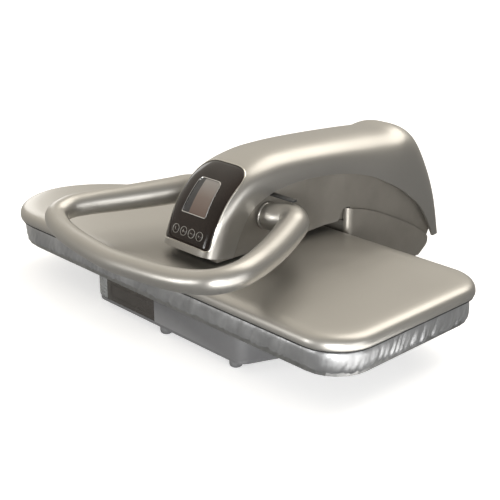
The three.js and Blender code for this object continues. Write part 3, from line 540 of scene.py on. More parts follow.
class Line:
    """Smooth line through points with centripetal spacing."""

    def __init__(self, points):
        self.points = np.asarray(points, float)

    def at(self, way):
        pts, last = self.points, len(self.points) - 1
        p = last * min(max(way, 0.0), 1.0)
        i = min(int(p), last - 1)
        w = p - i
        b, c = pts[i], pts[i + 1]
        a = pts[i - 1] if i > 0 else 2 * pts[0] - pts[1]
        d = pts[i + 2] if i + 2 <= last else 2 * pts[last] - pts[last - 1]
        d0, d1, d2 = (math.sqrt(float(np.linalg.norm(v))) for v in (b - a, c - b, d - c))
        d1 = d1 or 1.0
        d0, d2 = d0 or d1, d2 or d1
        t1 = ((b - a) / d0 - (c - a) / (d0 + d1) + (c - b) / d1) * d1
        t2 = ((c - b) / d1 - (d - b) / (d1 + d2) + (d - c) / d2) * d1
        return b + t1 * w + (-3 * b + 3 * c - 2 * t1 - t2) * w * w + (2 * b - 2 * c + t1 + t2) * w ** 3

    def spaced(self, count, fine=900):
        pts = np.array([self.at(i / fine) for i in range(fine + 1)])
        run = np.concatenate([[0], np.cumsum(np.linalg.norm(np.diff(pts, axis=0), axis=1))])
        at = np.linspace(0, run[-1], count)
        return np.stack([np.interp(at, run, pts[:, k]) for k in range(3)], 1)


# Arm stations: top line y, z; rim y, z; half width; squareness. The head's are from the plate's
# front edge and top, the tail's from the hinge.
HEAD_STATIONS = [(42, 13, 82, 5, 47, 5), (61, 55, 96, 36, 48, 5), (80, 81, 112, 58, 48.5, 4.6),
                 (104, 101, 138, 72, 50, 3.8), (150, 115, 175, 79, 52, 3), (200, 118, 215, 80, 54, 2.7)]
TAIL_STATIONS = [(-145, 133, -147, 92, 57, 2.6), (-75, 128.5, -97, 79, 61, 2.6), (-27, 125, -63, 63, 64, 2.7),
                 (-5, 126.5, -41, 51, 65, 2.8), (13, 118, -21, 37, 66, 3), (40, 72, 3, 18, 66, 3.2),
                 (57, 20, 21, -4, 66, 3.4), (64, -36, 40, -37, 66, 3.6)]
STATIONS = [(a, b + SHELL_TOP, c, d + SHELL_TOP, h, p) for a, b, c, d, h, p in HEAD_STATIONS]
STATIONS += [(a + HINGE_Y, b + HINGE_Z, c + HINGE_Y, d + HINGE_Z, h, p) for a, b, c, d, h, p in TAIL_STATIONS]
TOP_LINE = Line([(h, a, b) for a, b, c, d, h, p in STATIONS])
RIM_LINE = Line([(p, c, d) for a, b, c, d, h, p in STATIONS])
PANEL_SLOPE = math.atan2(86, 68)
ARM_SKIN = 3.5


def arm_section(way, inset, steps):
    """One arch of the arm, from rim over the top to the other rim."""
    top, rim = TOP_LINE.at(way), RIM_LINE.at(way)
    half = top[0] - inset
    up = np.array([0, top[1] - rim[1], top[2] - rim[2]])
    height = np.linalg.norm(up) - inset
    up = up / np.linalg.norm(up)
    angle = np.pi * np.linspace(0, 1, steps + 1)
    across = np.sign(np.cos(angle)) * np.abs(np.cos(angle)) ** (2 / rim[0])
    rise = np.abs(np.sin(angle)) ** (2 / rim[0])
    points = np.array([0, rim[1], rim[2]]) + (height * rise)[:, None] * up
    points[:, 0] = half * across
    return points


def unit_clip(t):
    return min(max(t, 0), 1)


def ease(t):
    """Smooth step from 0 to 1."""
    return t * t * (3 - 2 * t)


BLOCK_FACES = [(3, 2, 1, 0), (4, 5, 6, 7), (0, 1, 5, 4), (1, 2, 6, 5), (2, 3, 7, 6), (3, 0, 4, 7)]


def block(low, high):
    """Cutting block between two corners in millimetres."""
    (x0, y0, z0), (x1, y1, z1) = low, high
    points = [(x, y, z) for z in (z0, z1) for x, y in ((x0, y0), (x1, y0), (x1, y1), (x0, y1))]
    return mesh_piece("cutter", seat(points), BLOCK_FACES, "black_plastic")


def bore(corners, count, inset):
    """Cutter of a rounded outline, straight through the head's front."""
    outline = rounded_outline(corners, count, inset)
    return lofted("cutter", [panel_frame(level(outline, w)) for w in (-30, 40)], "black_plastic")


def panel_frame(points):
    """Places (x, up the slope, outwards) onto the head's sloping front."""
    p = np.asarray(points, float)
    c, s = math.cos(PANEL_SLOPE), math.sin(PANEL_SLOPE)
    return np.stack([p[:, 0], 50 + p[:, 1] * c - p[:, 2] * s, SHELL_TOP + 23 + p[:, 1] * s + p[:, 2] * c], 1)


PANEL_OUT = np.array([0, -math.sin(PANEL_SLOPE), math.cos(PANEL_SLOPE)])
PANEL_CORNERS = [(-40, -4, 7), (40, -4, 7), (40, 108, 26), (-40, 108, 26)]
DISPLAY_CORNERS = [(-22, 30, 3.5), (22, 30, 3.5), (19.5, 80, 8), (-19.5, 80, 8)]
KEY_RADIUS = 4.6
KEY_X = [-21.45, -7.15, 7.15, 21.45]
KEY_RISE = 34.1


TREES = {}


def head_tree():
    """Search tree of the head's outer surface, in millimetres."""
    if "head" not in TREES:
        ways, steps = np.linspace(0, 0.5, 240), 160
        grid = np.concatenate([arm_section(w, 0, steps) for w in ways])
        wide = steps + 1
        faces = [(a * wide + i, a * wide + i + 1, (a + 1) * wide + i + 1, (a + 1) * wide + i)
                 for a in range(len(ways) - 1) for i in range(steps)]
        TREES["head"] = BVHTree.FromPolygons([tuple(p) for p in grid], faces)
    return TREES["head"]


def on_head(outline, depth):
    """Drops a flat outline onto the head, a depth under its surface (negative is proud)."""
    tree, made = head_tree(), []
    for x, up in outline:
        start = panel_frame([(x, up, 60)])[0]
        hit = tree.ray_cast(Vector(start), Vector(-PANEL_OUT))[0]
        point = np.array(hit) if hit is not None else panel_frame([(x, up, 0)])[0]
        made.append(point - PANEL_OUT * depth)
    return np.array(made)


def head_sheet(name, corners, inset, depth, thickness, material, count=160, ease=0.5):
    """Sheet with an eased edge that follows the head's front."""
    middle = rounded_outline(corners, count, inset).mean(0)
    rings = []
    for k in np.linspace(0.06, 1, 16)[:-1]:
        rings.append(on_head(middle + (rounded_outline(corners, count, inset + ease) - middle) * k, depth))
    for back, drop in ((ease, 0.0), (ease * 0.3, ease * 0.25), (0, ease)):
        rings.append(on_head(rounded_outline(corners, count, inset + back), depth + drop))
    for k in (1, 0.7, 0.4, 0.06):
        rings.append(on_head(middle + (rounded_outline(corners, count, inset) - middle) * k, depth + thickness))
    return lofted(name, rings, material)


def head_band(name, corners, outer, inner, profile, material, count=200):
    """Closed band round an outline on the head: profile is (share of the width, depth)."""
    rings = []
    for share, depth in profile:
        rings.append(on_head(rounded_outline(corners, count, outer + (inner - outer) * share), depth))
    return lofted(name, rings, material, False, False, True)


def key_seat(x):
    """Centre and outward direction of a key on the head's front line."""
    ways = np.linspace(0, 0.2, 201)
    line = np.array([TOP_LINE.at(w) for w in ways])
    i = int(np.argmin(np.abs(line[:, 2] - (SHELL_TOP + KEY_RISE))))
    along = TOP_LINE.at(ways[i] + 1e-4) - TOP_LINE.at(ways[i] - 1e-4)
    along[0] = 0
    along /= np.linalg.norm(along)
    return np.array([x, line[i][1], line[i][2]]), np.array([0, -along[2], along[1]])


def turned(name, centre, axis, profile, material, sides=48):
    """Solid turned about an axis: profile is (radius, height) from one pole to the other."""
    axis = np.asarray(axis, float) / np.linalg.norm(axis)
    side = np.cross(axis, [1, 0, 0] if abs(axis[0]) < 0.9 else [0, 1, 0])
    side /= np.linalg.norm(side)
    other = np.cross(axis, side)
    rings = [circle(centre + axis * h, side, other, r, sides) for r, h in profile]
    return lofted(name, rings, material)


def eased(name, node, material, body, width=None, degrees=34, segments=3, top=None, also=()):
    """The frame node's shape with its moulded edges rounded, as a piece that stands for it."""
    work = bmesh.new()
    work.from_mesh(frame["nodes"][node].data)
    bmesh.ops.remove_doubles(work, verts=work.verts, dist=2e-6)
    bmesh.ops.dissolve_limit(work, angle_limit=math.radians(1.0), verts=work.verts, edges=work.edges)
    if top is not None:
        middle = sum(v.co.z for v in work.verts) / len(work.verts)
        for vertex in work.verts:
            if vertex.co.z > middle:
                vertex.co.z = top
    mesh = bpy.data.meshes.new(name)
    for key in list(work.loops.layers.uv.keys()):
        work.loops.layers.uv.remove(work.loops.layers.uv[key])
    work.to_mesh(mesh)
    work.free()
    for layer in ("custom_normal", "sharp_edge", "sharp_face"):
        if layer in mesh.attributes:
            mesh.attributes.remove(mesh.attributes[layer])
    made = bpy.data.objects.new(name, mesh)
    bpy.context.scene.collection.objects.link(made)
    mesh.materials.clear()
    mesh.materials.append(finish(material))
    for polygon in mesh.polygons:
        polygon.material_index = 0
    bevel = made.modifiers.new("edges", "BEVEL")
    bevel.width = width or settings("body").edge
    bevel.segments = segments
    bevel.limit_method = "ANGLE"
    bevel.angle_limit = math.radians(degrees)
    bevel.use_clamp_overlap = True
    bevel.miter_outer = "MITER_ARC"
    bake_modifiers(made)
    smooth(made, 30)
    return seated(made, body, (node, *also))


# ---------------------------------------------------------------- node trees for what repeats
def node_tree(name, inputs):
    """A geometry tree with named inputs; inputs are (name, socket type, default)."""
    tree = bpy.data.node_groups.new(name, "GeometryNodeTree")
    tree.interface.new_socket(name="Geometry", in_out="INPUT", socket_type="NodeSocketGeometry")
    for label, kind, default in inputs:
        socket = tree.interface.new_socket(name=label, in_out="INPUT", socket_type=kind)
        if default is not None:
            socket.default_value = default
    tree.interface.new_socket(name="Geometry", in_out="OUTPUT", socket_type="NodeSocketGeometry")
    return tree, tree.nodes.new("NodeGroupInput"), tree.nodes.new("NodeGroupOutput")


def close_tree(tree, source, out, material_socket):
    real = tree.nodes.new("GeometryNodeRealizeInstances")
    paint = tree.nodes.new("GeometryNodeSetMaterial")
    link_all(tree, (source, real.inputs["Geometry"]), (real.outputs["Geometry"], paint.inputs["Geometry"]),
             (material_socket, paint.inputs["Material"]), (paint.outputs["Geometry"], out.inputs["Geometry"]))


def run_tree(piece, tree, **values):
    """Adds the tree, sets its inputs by identifier and makes the result a plain mesh."""
    tool = piece.modifiers.new("build", "NODES")
    tool.node_group = tree
    for item in tree.interface.items_tree:
        key = item.name.replace(" ", "_").lower()
        if item.item_type == "SOCKET" and item.in_out == "INPUT" and key in values:
            tool[item.identifier] = values[key]
    bake_modifiers(piece)
    smooth(piece)
    return piece


def link_all(tree, *pairs):
    for start, end in pairs:
        tree.links.new(start, end)


def stitches_tree():
    """A short round stitch along a path, at an even pitch."""
    tree, given, out = node_tree("stitches_on_path", [
        ("Pitch", "NodeSocketFloat", 0.004), ("Length", "NodeSocketFloat", 0.0026),
        ("Thickness", "NodeSocketFloat", 0.0005), ("Material", "NodeSocketMaterial", None)])
    path, points, ball, place, tangent, turn, size = (tree.nodes.new(kind) for kind in (
        "GeometryNodeMeshToCurve", "GeometryNodeResampleCurve", "GeometryNodeMeshUVSphere",
        "GeometryNodeInstanceOnPoints", "GeometryNodeInputTangent", "FunctionNodeAlignRotationToVector", "ShaderNodeCombineXYZ"))
    points.mode = "LENGTH"
    ball.inputs["Segments"].default_value, ball.inputs["Rings"].default_value = 6, 4
    ball.inputs["Radius"].default_value = 0.5
    turn.axis = "Z"
    link_all(tree, (given.outputs["Geometry"], path.inputs["Mesh"]), (path.outputs["Curve"], points.inputs["Curve"]),
             (given.outputs["Pitch"], points.inputs["Length"]), (points.outputs["Curve"], place.inputs["Points"]),
             (ball.outputs["Mesh"], place.inputs["Instance"]), (tangent.outputs["Tangent"], turn.inputs["Vector"]),
             (turn.outputs["Rotation"], place.inputs["Rotation"]), (given.outputs["Thickness"], size.inputs["X"]),
             (given.outputs["Thickness"], size.inputs["Y"]), (given.outputs["Length"], size.inputs["Z"]),
             (size.outputs["Vector"], place.inputs["Scale"]))
    close_tree(tree, place.outputs["Instances"], out, given.outputs["Material"])
    return tree


def studs_tree():
    """A low turned head on every vertex."""
    tree, given, out = node_tree("heads_on_points", [
        ("Radius", "NodeSocketFloat", 0.003), ("Height", "NodeSocketFloat", 0.001),
        ("Taper", "NodeSocketFloat", 0.8), ("Material", "NodeSocketMaterial", None)])
    head, small, place = (tree.nodes.new(kind) for kind in (
        "GeometryNodeMeshCone", "ShaderNodeMath", "GeometryNodeInstanceOnPoints"))
    small.operation = "MULTIPLY"
    head.inputs["Vertices"].default_value = 20
    link_all(tree, (given.outputs["Radius"], head.inputs["Radius Bottom"]), (given.outputs["Radius"], small.inputs[0]),
             (given.outputs["Taper"], small.inputs[1]), (small.outputs[0], head.inputs["Radius Top"]),
             (given.outputs["Height"], head.inputs["Depth"]), (given.outputs["Geometry"], place.inputs["Points"]),
             (head.outputs["Mesh"], place.inputs["Instance"]))
    close_tree(tree, place.outputs["Instances"], out, given.outputs["Material"])
    return tree


def coil_tree():
    """A coil of wire along X from a place."""
    tree, given, out = node_tree("coil_of_wire", [
        ("Turns", "NodeSocketFloat", 4.0), ("Radius", "NodeSocketFloat", 0.014), ("Run", "NodeSocketFloat", 0.02),
        ("Wire", "NodeSocketFloat", 0.002), ("Place", "NodeSocketVector", None),
        ("Material", "NodeSocketMaterial", None)])
    spiral, section, sweep, move = (tree.nodes.new(kind) for kind in (
        "GeometryNodeCurveSpiral", "GeometryNodeCurvePrimitiveCircle", "GeometryNodeCurveToMesh",
        "GeometryNodeTransform"))
    spiral.inputs["Resolution"].default_value = 40
    section.inputs["Resolution"].default_value = 14
    sweep.inputs["Fill Caps"].default_value = True
    move.inputs["Rotation"].default_value = (0, math.pi / 2, 0)
    link_all(tree, (given.outputs["Turns"], spiral.inputs["Rotations"]),
             (given.outputs["Radius"], spiral.inputs["Start Radius"]),
             (given.outputs["Radius"], spiral.inputs["End Radius"]), (given.outputs["Run"], spiral.inputs["Height"]),
             (given.outputs["Wire"], section.inputs["Radius"]), (spiral.outputs["Curve"], sweep.inputs["Curve"]),
             (section.outputs["Curve"], sweep.inputs["Profile Curve"]),
             (sweep.outputs["Mesh"], move.inputs["Geometry"]),
             (given.outputs["Place"], move.inputs["Translation"]))
    close_tree(tree, move.outputs["Geometry"], out, given.outputs["Material"])
    return tree


def point_piece(name, points, edges=()):
    mesh = bpy.data.meshes.new(name)
    mesh.from_pydata([tuple(p) for p in points], list(edges), [])
    made = bpy.data.objects.new(name, mesh)
    bpy.context.scene.collection.objects.link(made)
    return made


# ---------------------------------------------------------------- pieces
class PRESS_OT_stage(bpy.types.Operator):
    """Camera, pale floor and soft lights"""

    bl_idname = "press.stage"
    bl_label = "Stage"

    def execute(self, context):
        scene = context.scene
        eye = bpy.data.cameras.new("camera")
        eye.lens, eye.sensor_width, eye.clip_start, eye.clip_end = 75.24, 36, 0.01, 50
        camera = bpy.data.objects.new("camera", eye)
        camera.location = (0.9436, -0.9086, 0.555)
        camera.rotation_euler = (math.radians(69.2), 0, math.radians(46.4))
        scene.collection.objects.link(camera)
        scene.camera = camera
        floor = self.flat("floor", (-9, -9), (9, 9), 0, "studio_floor")
        floor.visible_glossy = False
        self.flat("card", (0.42, -0.70), (1.10, 0.02), 0.0015, "bright_card")
        scene.world = self.room()
        scene.view_settings.view_transform = "Standard"
        sun = bpy.data.lights.new("overhead_sky", "SUN")
        sun.angle, sun.energy, sun.color = math.radians(46), 1.35, (1.0, 0.96, 0.89)
        self.light("overhead_sky", sun, (0.0, 0.62, 0.78), (0, 0, 0))
        for name, where_at, aim, wide, high, power in (
                ("left_panel", (-1.75, 0.45, 0.62), (-0.25, -0.1, 0.10), 0.5, 0.9, 2.2),
                ("front_panel", (1.22, -1.22, 0.30), (0.05, -0.05, 0.11), 0.8, 0.55, 25.0),
                ("right_panel", (1.75, -0.15, 0.35), (0.0, 0.0, 0.12), 1.1, 0.6, 7.0),
                ("low_panel", (-0.55, -1.9, 0.35), (-0.1, -0.1, 0.12), 0.35, 0.6, 8.0)):
            lamp = bpy.data.lights.new(name, "AREA")
            lamp.shape, lamp.size, lamp.size_y, lamp.energy = "RECTANGLE", wide, high, power
            self.light(name, lamp, where_at, aim)
        return {"FINISHED"}

    def flat(self, name, low, high, z, material):
        (x0, y0), (x1, y1) = low, high
        return mesh_piece(name, [(x0, y0, z), (x1, y0, z), (x1, y1, z), (x0, y1, z)], [(0, 1, 2, 3)], material, False)

    def light(self, name, lamp, place, aim):
        made = bpy.data.objects.new(name, lamp)
        made.location = place
        made.rotation_euler = (Vector(aim) - Vector(place)).to_track_quat("-Z", "Y").to_euler()
        bpy.context.scene.collection.objects.link(made)

    def room(self):
        """Room that is pale on the left and behind, and dim on the right."""
        world = bpy.data.worlds.new("pale_room")
        world.use_nodes = True
        tree = world.node_tree
        sky = tree.nodes["Background"]
        where, lean, ramp = (tree.nodes.new(k) for k in ("ShaderNodeTexCoord", "ShaderNodeVectorMath", "ShaderNodeValToRGB"))
        lean.operation = "DOT_PRODUCT"
        lean.inputs[1].default_value = (-0.33, 0.12, 0.40)
        half = tree.nodes.new("ShaderNodeMath")
        half.inputs[1].default_value = 0.5
        tree.links.new(where.outputs["Generated"], lean.inputs[0])
        tree.links.new(lean.outputs["Value"], half.inputs[0])
        tree.links.new(half.outputs[0], ramp.inputs["Fac"])
        tree.links.new(ramp.outputs["Color"], sky.inputs["Color"])
        stops = ramp.color_ramp.elements
        stops[0].position, stops[0].color = 0.0, (0.12, 0.12, 0.122, 1)
        stops[1].position, stops[1].color = 1.0, (0.97, 0.915, 0.82, 1)
        for way, colour in ((0.5, (0.22, 0.217, 0.21, 1)), (0.85, (0.60, 0.565, 0.507, 1))):
            stops.new(way).color = colour
        sky.inputs["Strength"].default_value = 1.0
        return world


class PRESS_OT_plate(bpy.types.Operator):
    """Upper plate: shell with rounded edge, and steam vents in its sole"""

    bl_idname = "press.plate"
    bl_label = "Upper plate"

    def execute(self, context):
        plate, count = settings("plate"), 420
        edge, height = plate.edge_round, SHELL_TOP - SHELL_FOOT
        rise = [(0.9, 0), (0.35, 0.35), (0.1, 1.0), (0, 1.9), (0.05, 3.6), (0.3, 5.6), (0.9, 7.6), (1.9, 9.5),
                (3.3, 11.2), (5.2, 12.7), (7.6, 13.8), (10.4, 14.55), (13.6, 14.95), (edge, height)]
        outer = [level(plate_outline(inset, count), SHELL_FOOT + z) for inset, z in rise]
        rim = plate_outline(edge, count)
        outer += [level(shrunk(rim, k), SHELL_TOP + plate.crown * (1 - k * k))
                  for k in (0.96, 0.9, 0.8, 0.65, 0.5, 0.35, 0.2, 0.08)]
        skin = 2.4
        rim = plate_outline(edge + skin, count)
        inner = [level(shrunk(rim, k), SHELL_TOP - skin) for k in (0.08, 0.35, 0.65, 0.96)]
        inner += [level(plate_outline(inset, count), SHELL_FOOT + z)
                  for inset, z in ((9.0, 12.0), (4.4, 7.5), (skin, 3.0), (skin, 0.3), (1.6, 0))]
        seated(closed_shell("plate_cover", outer, inner, "silver_paint"), "plate", ("plate_shell",))
        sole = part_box("sole_plate")[0].z
        points = []
        for inset in (24, 46, 70):
            vents = int(1450 * (1 - inset / 150) / (plate.vent_pitch / MM))
            points += [(x, y, sole / MM - 0.12) for x, y in plate_outline(inset, max(8, vents))]
        vents = point_piece("steam_vents", seat(points))
        run_tree(vents, studs_tree(), radius=plate.vent_radius, height=0.0002, taper=0.9,
                 material=finish("shadow_black"))
        seated(vents, "plate")
        return {"FINISHED"}


def closed_shell(name, outer, inner, material):
    """Two skins that meet at their first and last ring, each closed by a fan in the middle."""
    rings, count, split = [*outer, *inner], len(outer[0]), len(outer) - 1
    faces = loop_faces(len(rings), count, True)
    del faces[split * count:(split + 1) * count]
    points = list(np.concatenate(rings))
    for ring in (split, split + 1):
        top, first = len(points), ring * count
        points.append(rings[ring].mean(0))
        faces += [(top, first + i, first + (i + 1) % count) for i in range(count)]
    return mesh_piece(name, seat(points), faces, material)


def gathers(run, height, strength):
    """Depth of the cloth's folds at a way round the edge, from the top (0) to the hem (1)."""
    lean = run + 17 * height
    wide = noise.noise(Vector((lean * 0.062, height * 0.25, 3.7)))
    fold = noise.noise(Vector((lean * 0.135, height * 0.35, 9.1)))
    fine = noise.noise(Vector(((run + 9 * height) * 0.34, height * 0.9, 5.5)))
    ridge = (1 - abs(fold) * 3.0) * 0.62 + (1 - abs(wide) * 2.0) * 0.36 + fine * 0.26
    return ridge * (0.10 + 0.90 * height ** 0.8) * strength


class PRESS_OT_board(bpy.types.Operator):
    """Padded board: crowned pad, gathered metallised cover and the stitches of its hem"""

    bl_idname = "press.board"
    bl_label = "Padded board"

    def execute(self, context):
        cover, count = settings("cover"), 1000
        top, foot, inset = BOARD_TOP - 0.15, BOARD_FOOT + 0.5, 6.4
        profile = [(14, 0.0, 0), (9, 0.05, 0), (6, 0.3, 0), (4, 0.9, 0.02), (2.4, 1.9, 0.05), (1.2, 3.3, 0.10),
                   (0.5, 5.0, 0.16), (0.15, 7.5, 0.24)]
        side = top - foot
        profile += [(0.0, side * k, k) for k in (0.36, 0.46, 0.55)]
        profile += [(0.1, side * 0.64, 0.64), (0.3, side * 0.72, 0.73), (0.7, side * 0.80, 0.81), (1.3, side * 0.87, 0.88),
                    (2.2, side * 0.93, 0.95), (3.4, side * 0.975, 1.0), (5.2, side, 1.0)]
        for k in (0.25, 0.5, 0.75, 1.0):
            profile.append((5.2 + cover.hem_width * k, side - 0.15, 1.0 - 0.3 * k))
        rings = []
        for k in (0.06, 0.2, 0.35, 0.5, 0.65, 0.8, 0.9, 0.96):
            flat = shrunk(plate_outline(inset + 14, count), k)
            sag = np.array([0.28 * noise.noise(Vector((x * 0.02, y * 0.02, 1.3))) - 0.28 for x, y in flat])
            rings.append(np.column_stack([flat, top + sag]))
        rim = plate_outline(inset, count)
        along = np.roll(rim, -1, 0) - np.roll(rim, 1, 0)
        along /= np.linalg.norm(along, axis=1)[:, None]
        outward = np.stack([along[:, 1], -along[:, 0]], 1)
        run = np.arange(count) * (1640.0 / count)
        strength = np.array([0.42 + 1.1 * math.exp(-((x - PLATE_RIGHT) / 60) ** 2) * (0.3 + 0.7 * min(1, max(0, (y - 30) / 70)))
                             + 0.8 * math.exp(-((x - PLATE_LEFT) / 75) ** 2) for x, y in rim])
        wrap = np.minimum(run, 1640 - run) / 40
        for back, fall, share in profile:
            line = plate_outline(inset + back, count)
            push = np.array([gathers(r, share, s) for r, s in zip(run, strength)]) * cover.gather_depth * min(1.0, share * 3)
            push *= np.clip(wrap, 0, 1)
            if share >= 1.0 or fall >= side - 0.2:
                push *= 0.5
            rings.append(np.column_stack([line + outward * (push - 0.3)[:, None], np.full(count, top - fall)]))
        points, faces = np.concatenate(rings), loop_faces(len(rings), count)
        points = np.vstack([points, rings[0].mean(0)])
        faces += [(len(points) - 1, (i + 1) % count, i) for i in range(count)]
        cloth = mesh_piece("board_cloth", seat(points), faces, "metallised_cloth", False)
        wall = cloth.modifiers.new("cloth", "SOLIDIFY")
        wall.thickness, wall.offset = 0.0006, -1.0 if cloth.data.polygons[0].normal.z > 0 else 1.0
        bake_modifiers(cloth)
        turn_outward(cloth)
        smooth(cloth, 60)
        seated(cloth, "base", ("board_cover",))
        low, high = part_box("board_pad")
        path = seat(level(plate_outline(inset + 3.2 + cover.hem_width * 0.55, 700), foot - 0.1))
        thread = point_piece("cover_stitches", path, [(i, (i + 1) % 700) for i in range(700)])
        run_tree(thread, stitches_tree(), pitch=cover.stitch_pitch, length=cover.stitch_length, thickness=0.0006,
                 material=finish("thread"))
        seated(thread, "base")
        pad = self.pad(low.z / MM, high.z / MM)
        return {"FINISHED"}

    def pad(self, low, high):
        """Felt pad with soft edges that swells between its flat faces."""
        count = 320
        high -= 0.5
        rim = plate_outline(16, count)
        rings = [level(shrunk(rim, k), low) for k in (0.1, 0.4, 0.7, 0.9)]
        for step in range(13):
            angle = math.pi * (step / 12 - 0.5)
            swell = abs(math.cos(angle)) ** 0.6
            rise = (low + high) / 2 + (high - low) / 2 * math.sin(angle)
            rings.append(level(plate_outline(15.2 - 5.2 * swell, count), rise))
        rings += [level(shrunk(rim, k), high + 0.25 * (1 - k)) for k in (0.9, 0.7, 0.4, 0.1)]
        made = lofted("board_padding", rings, "felt")
        seated(made, "base", ("board_pad",))
        return made


# Top edge of the tower beside the arm, back from the plate's front and up from the hinge.
TOWER_LIP = [(0, 276, 43.3), (0, 315, 35), (0, 350, 19), (0, 385, 2), (0, 412, -11.5), (0, 438, -27.5), (0, 459, -43)]


class PRESS_OT_arm(bpy.types.Operator):
    """Arched arm: silver top cover over a lining in a darker copy of the silver paint (painted shade), with its bosses
    and catch
    """

    bl_idname = "press.arm"
    bl_label = "Arm"

    def execute(self, context):
        ways, steps = np.linspace(0, 1, 190), 84
        wide = steps + 1
        outer = [arm_section(w, 0, steps) for w in ways]
        inner = [arm_section(w, ARM_SKIN, steps)[::-1] for w in ways]
        rings = [np.vstack([a, b]) for a, b in zip(outer, inner)]
        count = 2 * wide
        faces = loop_faces(len(rings), count)
        for row, turn in ((0, 1), (len(rings) - 1, -1)):
            start = row * count
            for i in range(steps):
                quad = (start + i, start + i + 1, start + count - 2 - i, start + count - 1 - i)
                faces.append(quad[::turn])
        shell = mesh_piece("arm_cover", seat(np.concatenate(rings)), faces, "silver_paint")
        tail = block((-61.5, HINGE_Y - 15, 0), (61.5, HINGE_Y + 105, HINGE_Z + 10.3))
        cut(shell, bore(PANEL_CORNERS, 160, -0.35), tail)
        smooth(shell, 38)
        seated(shell, "arm", ("arm_top_cover",))
        # The lining takes the darker copy of the silver paint: painted shade.
        eased("arm_lining", "arm_lower_cover", "dark_paint", "arm", 0.0008)
        for side in (-1, 1):
            self.cheek(side)
        for side in ("left", "right"):
            eased("boss_" + side, "pivot_boss_" + side, "silver_paint", "arm", 0.0022)
        eased("catch_slider", "lock_tab", "black_plastic", "catch", 0.0006)
        return {"FINISHED"}

    def cheek(self, side):
        """Side wall between the arm's rim and the tower's lip, in the darker copy of the silver paint (painted shade).
        """
        lip = Line(TOWER_LIP)
        lip_line = np.array([lip.at(t) for t in np.linspace(0, 1, 120)])
        foot, mouth, rows = SHELL_TOP + 3.6, HINGE_Z + 44.3, 14
        mouth_from, mouth_to, behind, thick = 282, 287, 452, 1.4
        rings = []
        for way in np.linspace(0.375, 0.985, 84):
            top, rim = TOP_LINE.at(way), RIM_LINE.at(way)
            up = np.array([top[1] - rim[1], top[2] - rim[2]])
            up /= np.linalg.norm(up)
            high = np.array([rim[1], rim[2]]) + up * 7
            y = min(rim[1] - 2, behind)
            edge = np.interp(y, lip_line[:, 1], lip_line[:, 2]) + HINGE_Z - 9
            flare = ease(unit_clip((y - 228) / 52))
            proud = -0.4 + 1.1 * unit_clip((y - 196) / 36)
            if y < mouth_from:
                edge = np.interp(y, (150, 262, 271, mouth_from), (foot + 1, foot + 7, mouth, mouth))
            elif y < mouth_to:
                edge = mouth + (edge - mouth) * (y - mouth_from) / (mouth_to - mouth_from)
            low = np.array([y, min(edge, high[1] - 3)])
            lining = 42 + 7 * min((y - 40) / 250, 1)
            x = side * (lining + proud + 6.3 * flare)
            line = [low + (high - low) * k for k in np.linspace(0, 1, rows)]
            rings.append(np.array([(x, a, b) for a, b in line] + [(x - side * thick, a, b) for a, b in line[::-1]]))
        name = "cheek_right" if side > 0 else "cheek_left"
        seated(lofted(name, rings, "dark_paint"), "arm")


class PRESS_OT_panel(bpy.types.Operator):
    """Gloss control panel with a rim paler than the paint (a painted highlight along its edge), a framed display and
    four keys
    """

    bl_idname = "press.panel"
    bl_label = "Control panel"

    def execute(self, context):
        panel = head_sheet("gloss_panel", PANEL_CORNERS, 0.3, 0.35, 3.0, "gloss_panel", 200)
        holes = [bore(DISPLAY_CORNERS, 96, -0.3)]
        for x in KEY_X:
            centre, out = key_seat(x)
            wide = KEY_RADIUS + 0.3
            holes.append(turned("cutter", centre, out, [(wide, -8), (wide, 6)], "black_plastic"))
        cut(panel, *holes)
        smooth(panel, 30)
        seated(panel, "arm", ("control_panel",))
        # A raised ring on the panel's edge, in paler metal: a painted highlight.
        rim = head_band("panel_rim", PANEL_CORNERS, -1.7, -0.5,
                        [(0, 0.15), (0.25, -0.35), (0.6, -0.4), (1, 0.0), (1, 0.6), (0, 0.6)], "bright_rim")
        seated(rim, "arm")
        bezel = head_band("display_frame", DISPLAY_CORNERS, 0, 1.4,
                          [(0, 0.5), (0.12, -0.05), (0.5, -0.4), (0.88, -0.05), (1, 0.8), (1, 3.2), (0, 3.2)], "chrome")
        seated(bezel, "arm", ("display_bezel",))
        glass = head_sheet("display_screen", DISPLAY_CORNERS, 1.55, 0.5, 2.2, "display_glass", 120, 0.25)
        seated(glass, "arm", ("display_window",))
        for number, x in enumerate(KEY_X, 1):
            centre, out = key_seat(x)
            key = turned(f"key_cap_{number}", centre, out,
                         [(0.3, 0.62), (2.0, 0.58), (3.3, 0.45), (4.1, 0.18), (4.5, -0.25), (KEY_RADIUS, -0.8),
                          (KEY_RADIUS, -2.4), (0.3, -2.4)], "gloss_panel")
            seated(key, f"key_{number}", (f"key_{number}",))
            side = np.array([1.0, 0, 0])
            other = np.cross(out, side)
            ring = [(5.15, -0.7), (5.15, 0.02), (5.3, 0.14), (5.55, 0.14), (5.7, 0.0), (5.7, -0.7)]
            rings = [circle(centre + out * h, side, other, r, 56) for r, h in ring]
            mark = lofted(f"key_ring_{number}", rings, "key_mark", False, False, True)
            seated(mark, "arm")
            self.sign(number, centre, out, side, other)
        return {"FINISHED"}

    def sign(self, number, centre, out, side, other):
        """Plain sign on a key: bar, cross, bar across and dot."""
        bars = {1: [(0.3, 2.2)], 2: [(0.3, 1.9), (1.9, 0.3)], 3: [(1.9, 0.3)], 4: [(0.8, 0.8)]}[number]
        points, faces = [], []
        for half_x, half_y in bars:
            base = len(points)
            for lift in (0.45, 0.66):
                for sx, sy in ((-1, -1), (1, -1), (1, 1), (-1, 1)):
                    points.append(centre + out * lift + side * sx * half_x + other * sy * half_y)
            faces += [tuple(base + k for k in face) for face in BLOCK_FACES]
        made = mesh_piece(f"key_sign_{number}", seat(points), faces, "key_mark")
        seated(made, f"key_{number}")


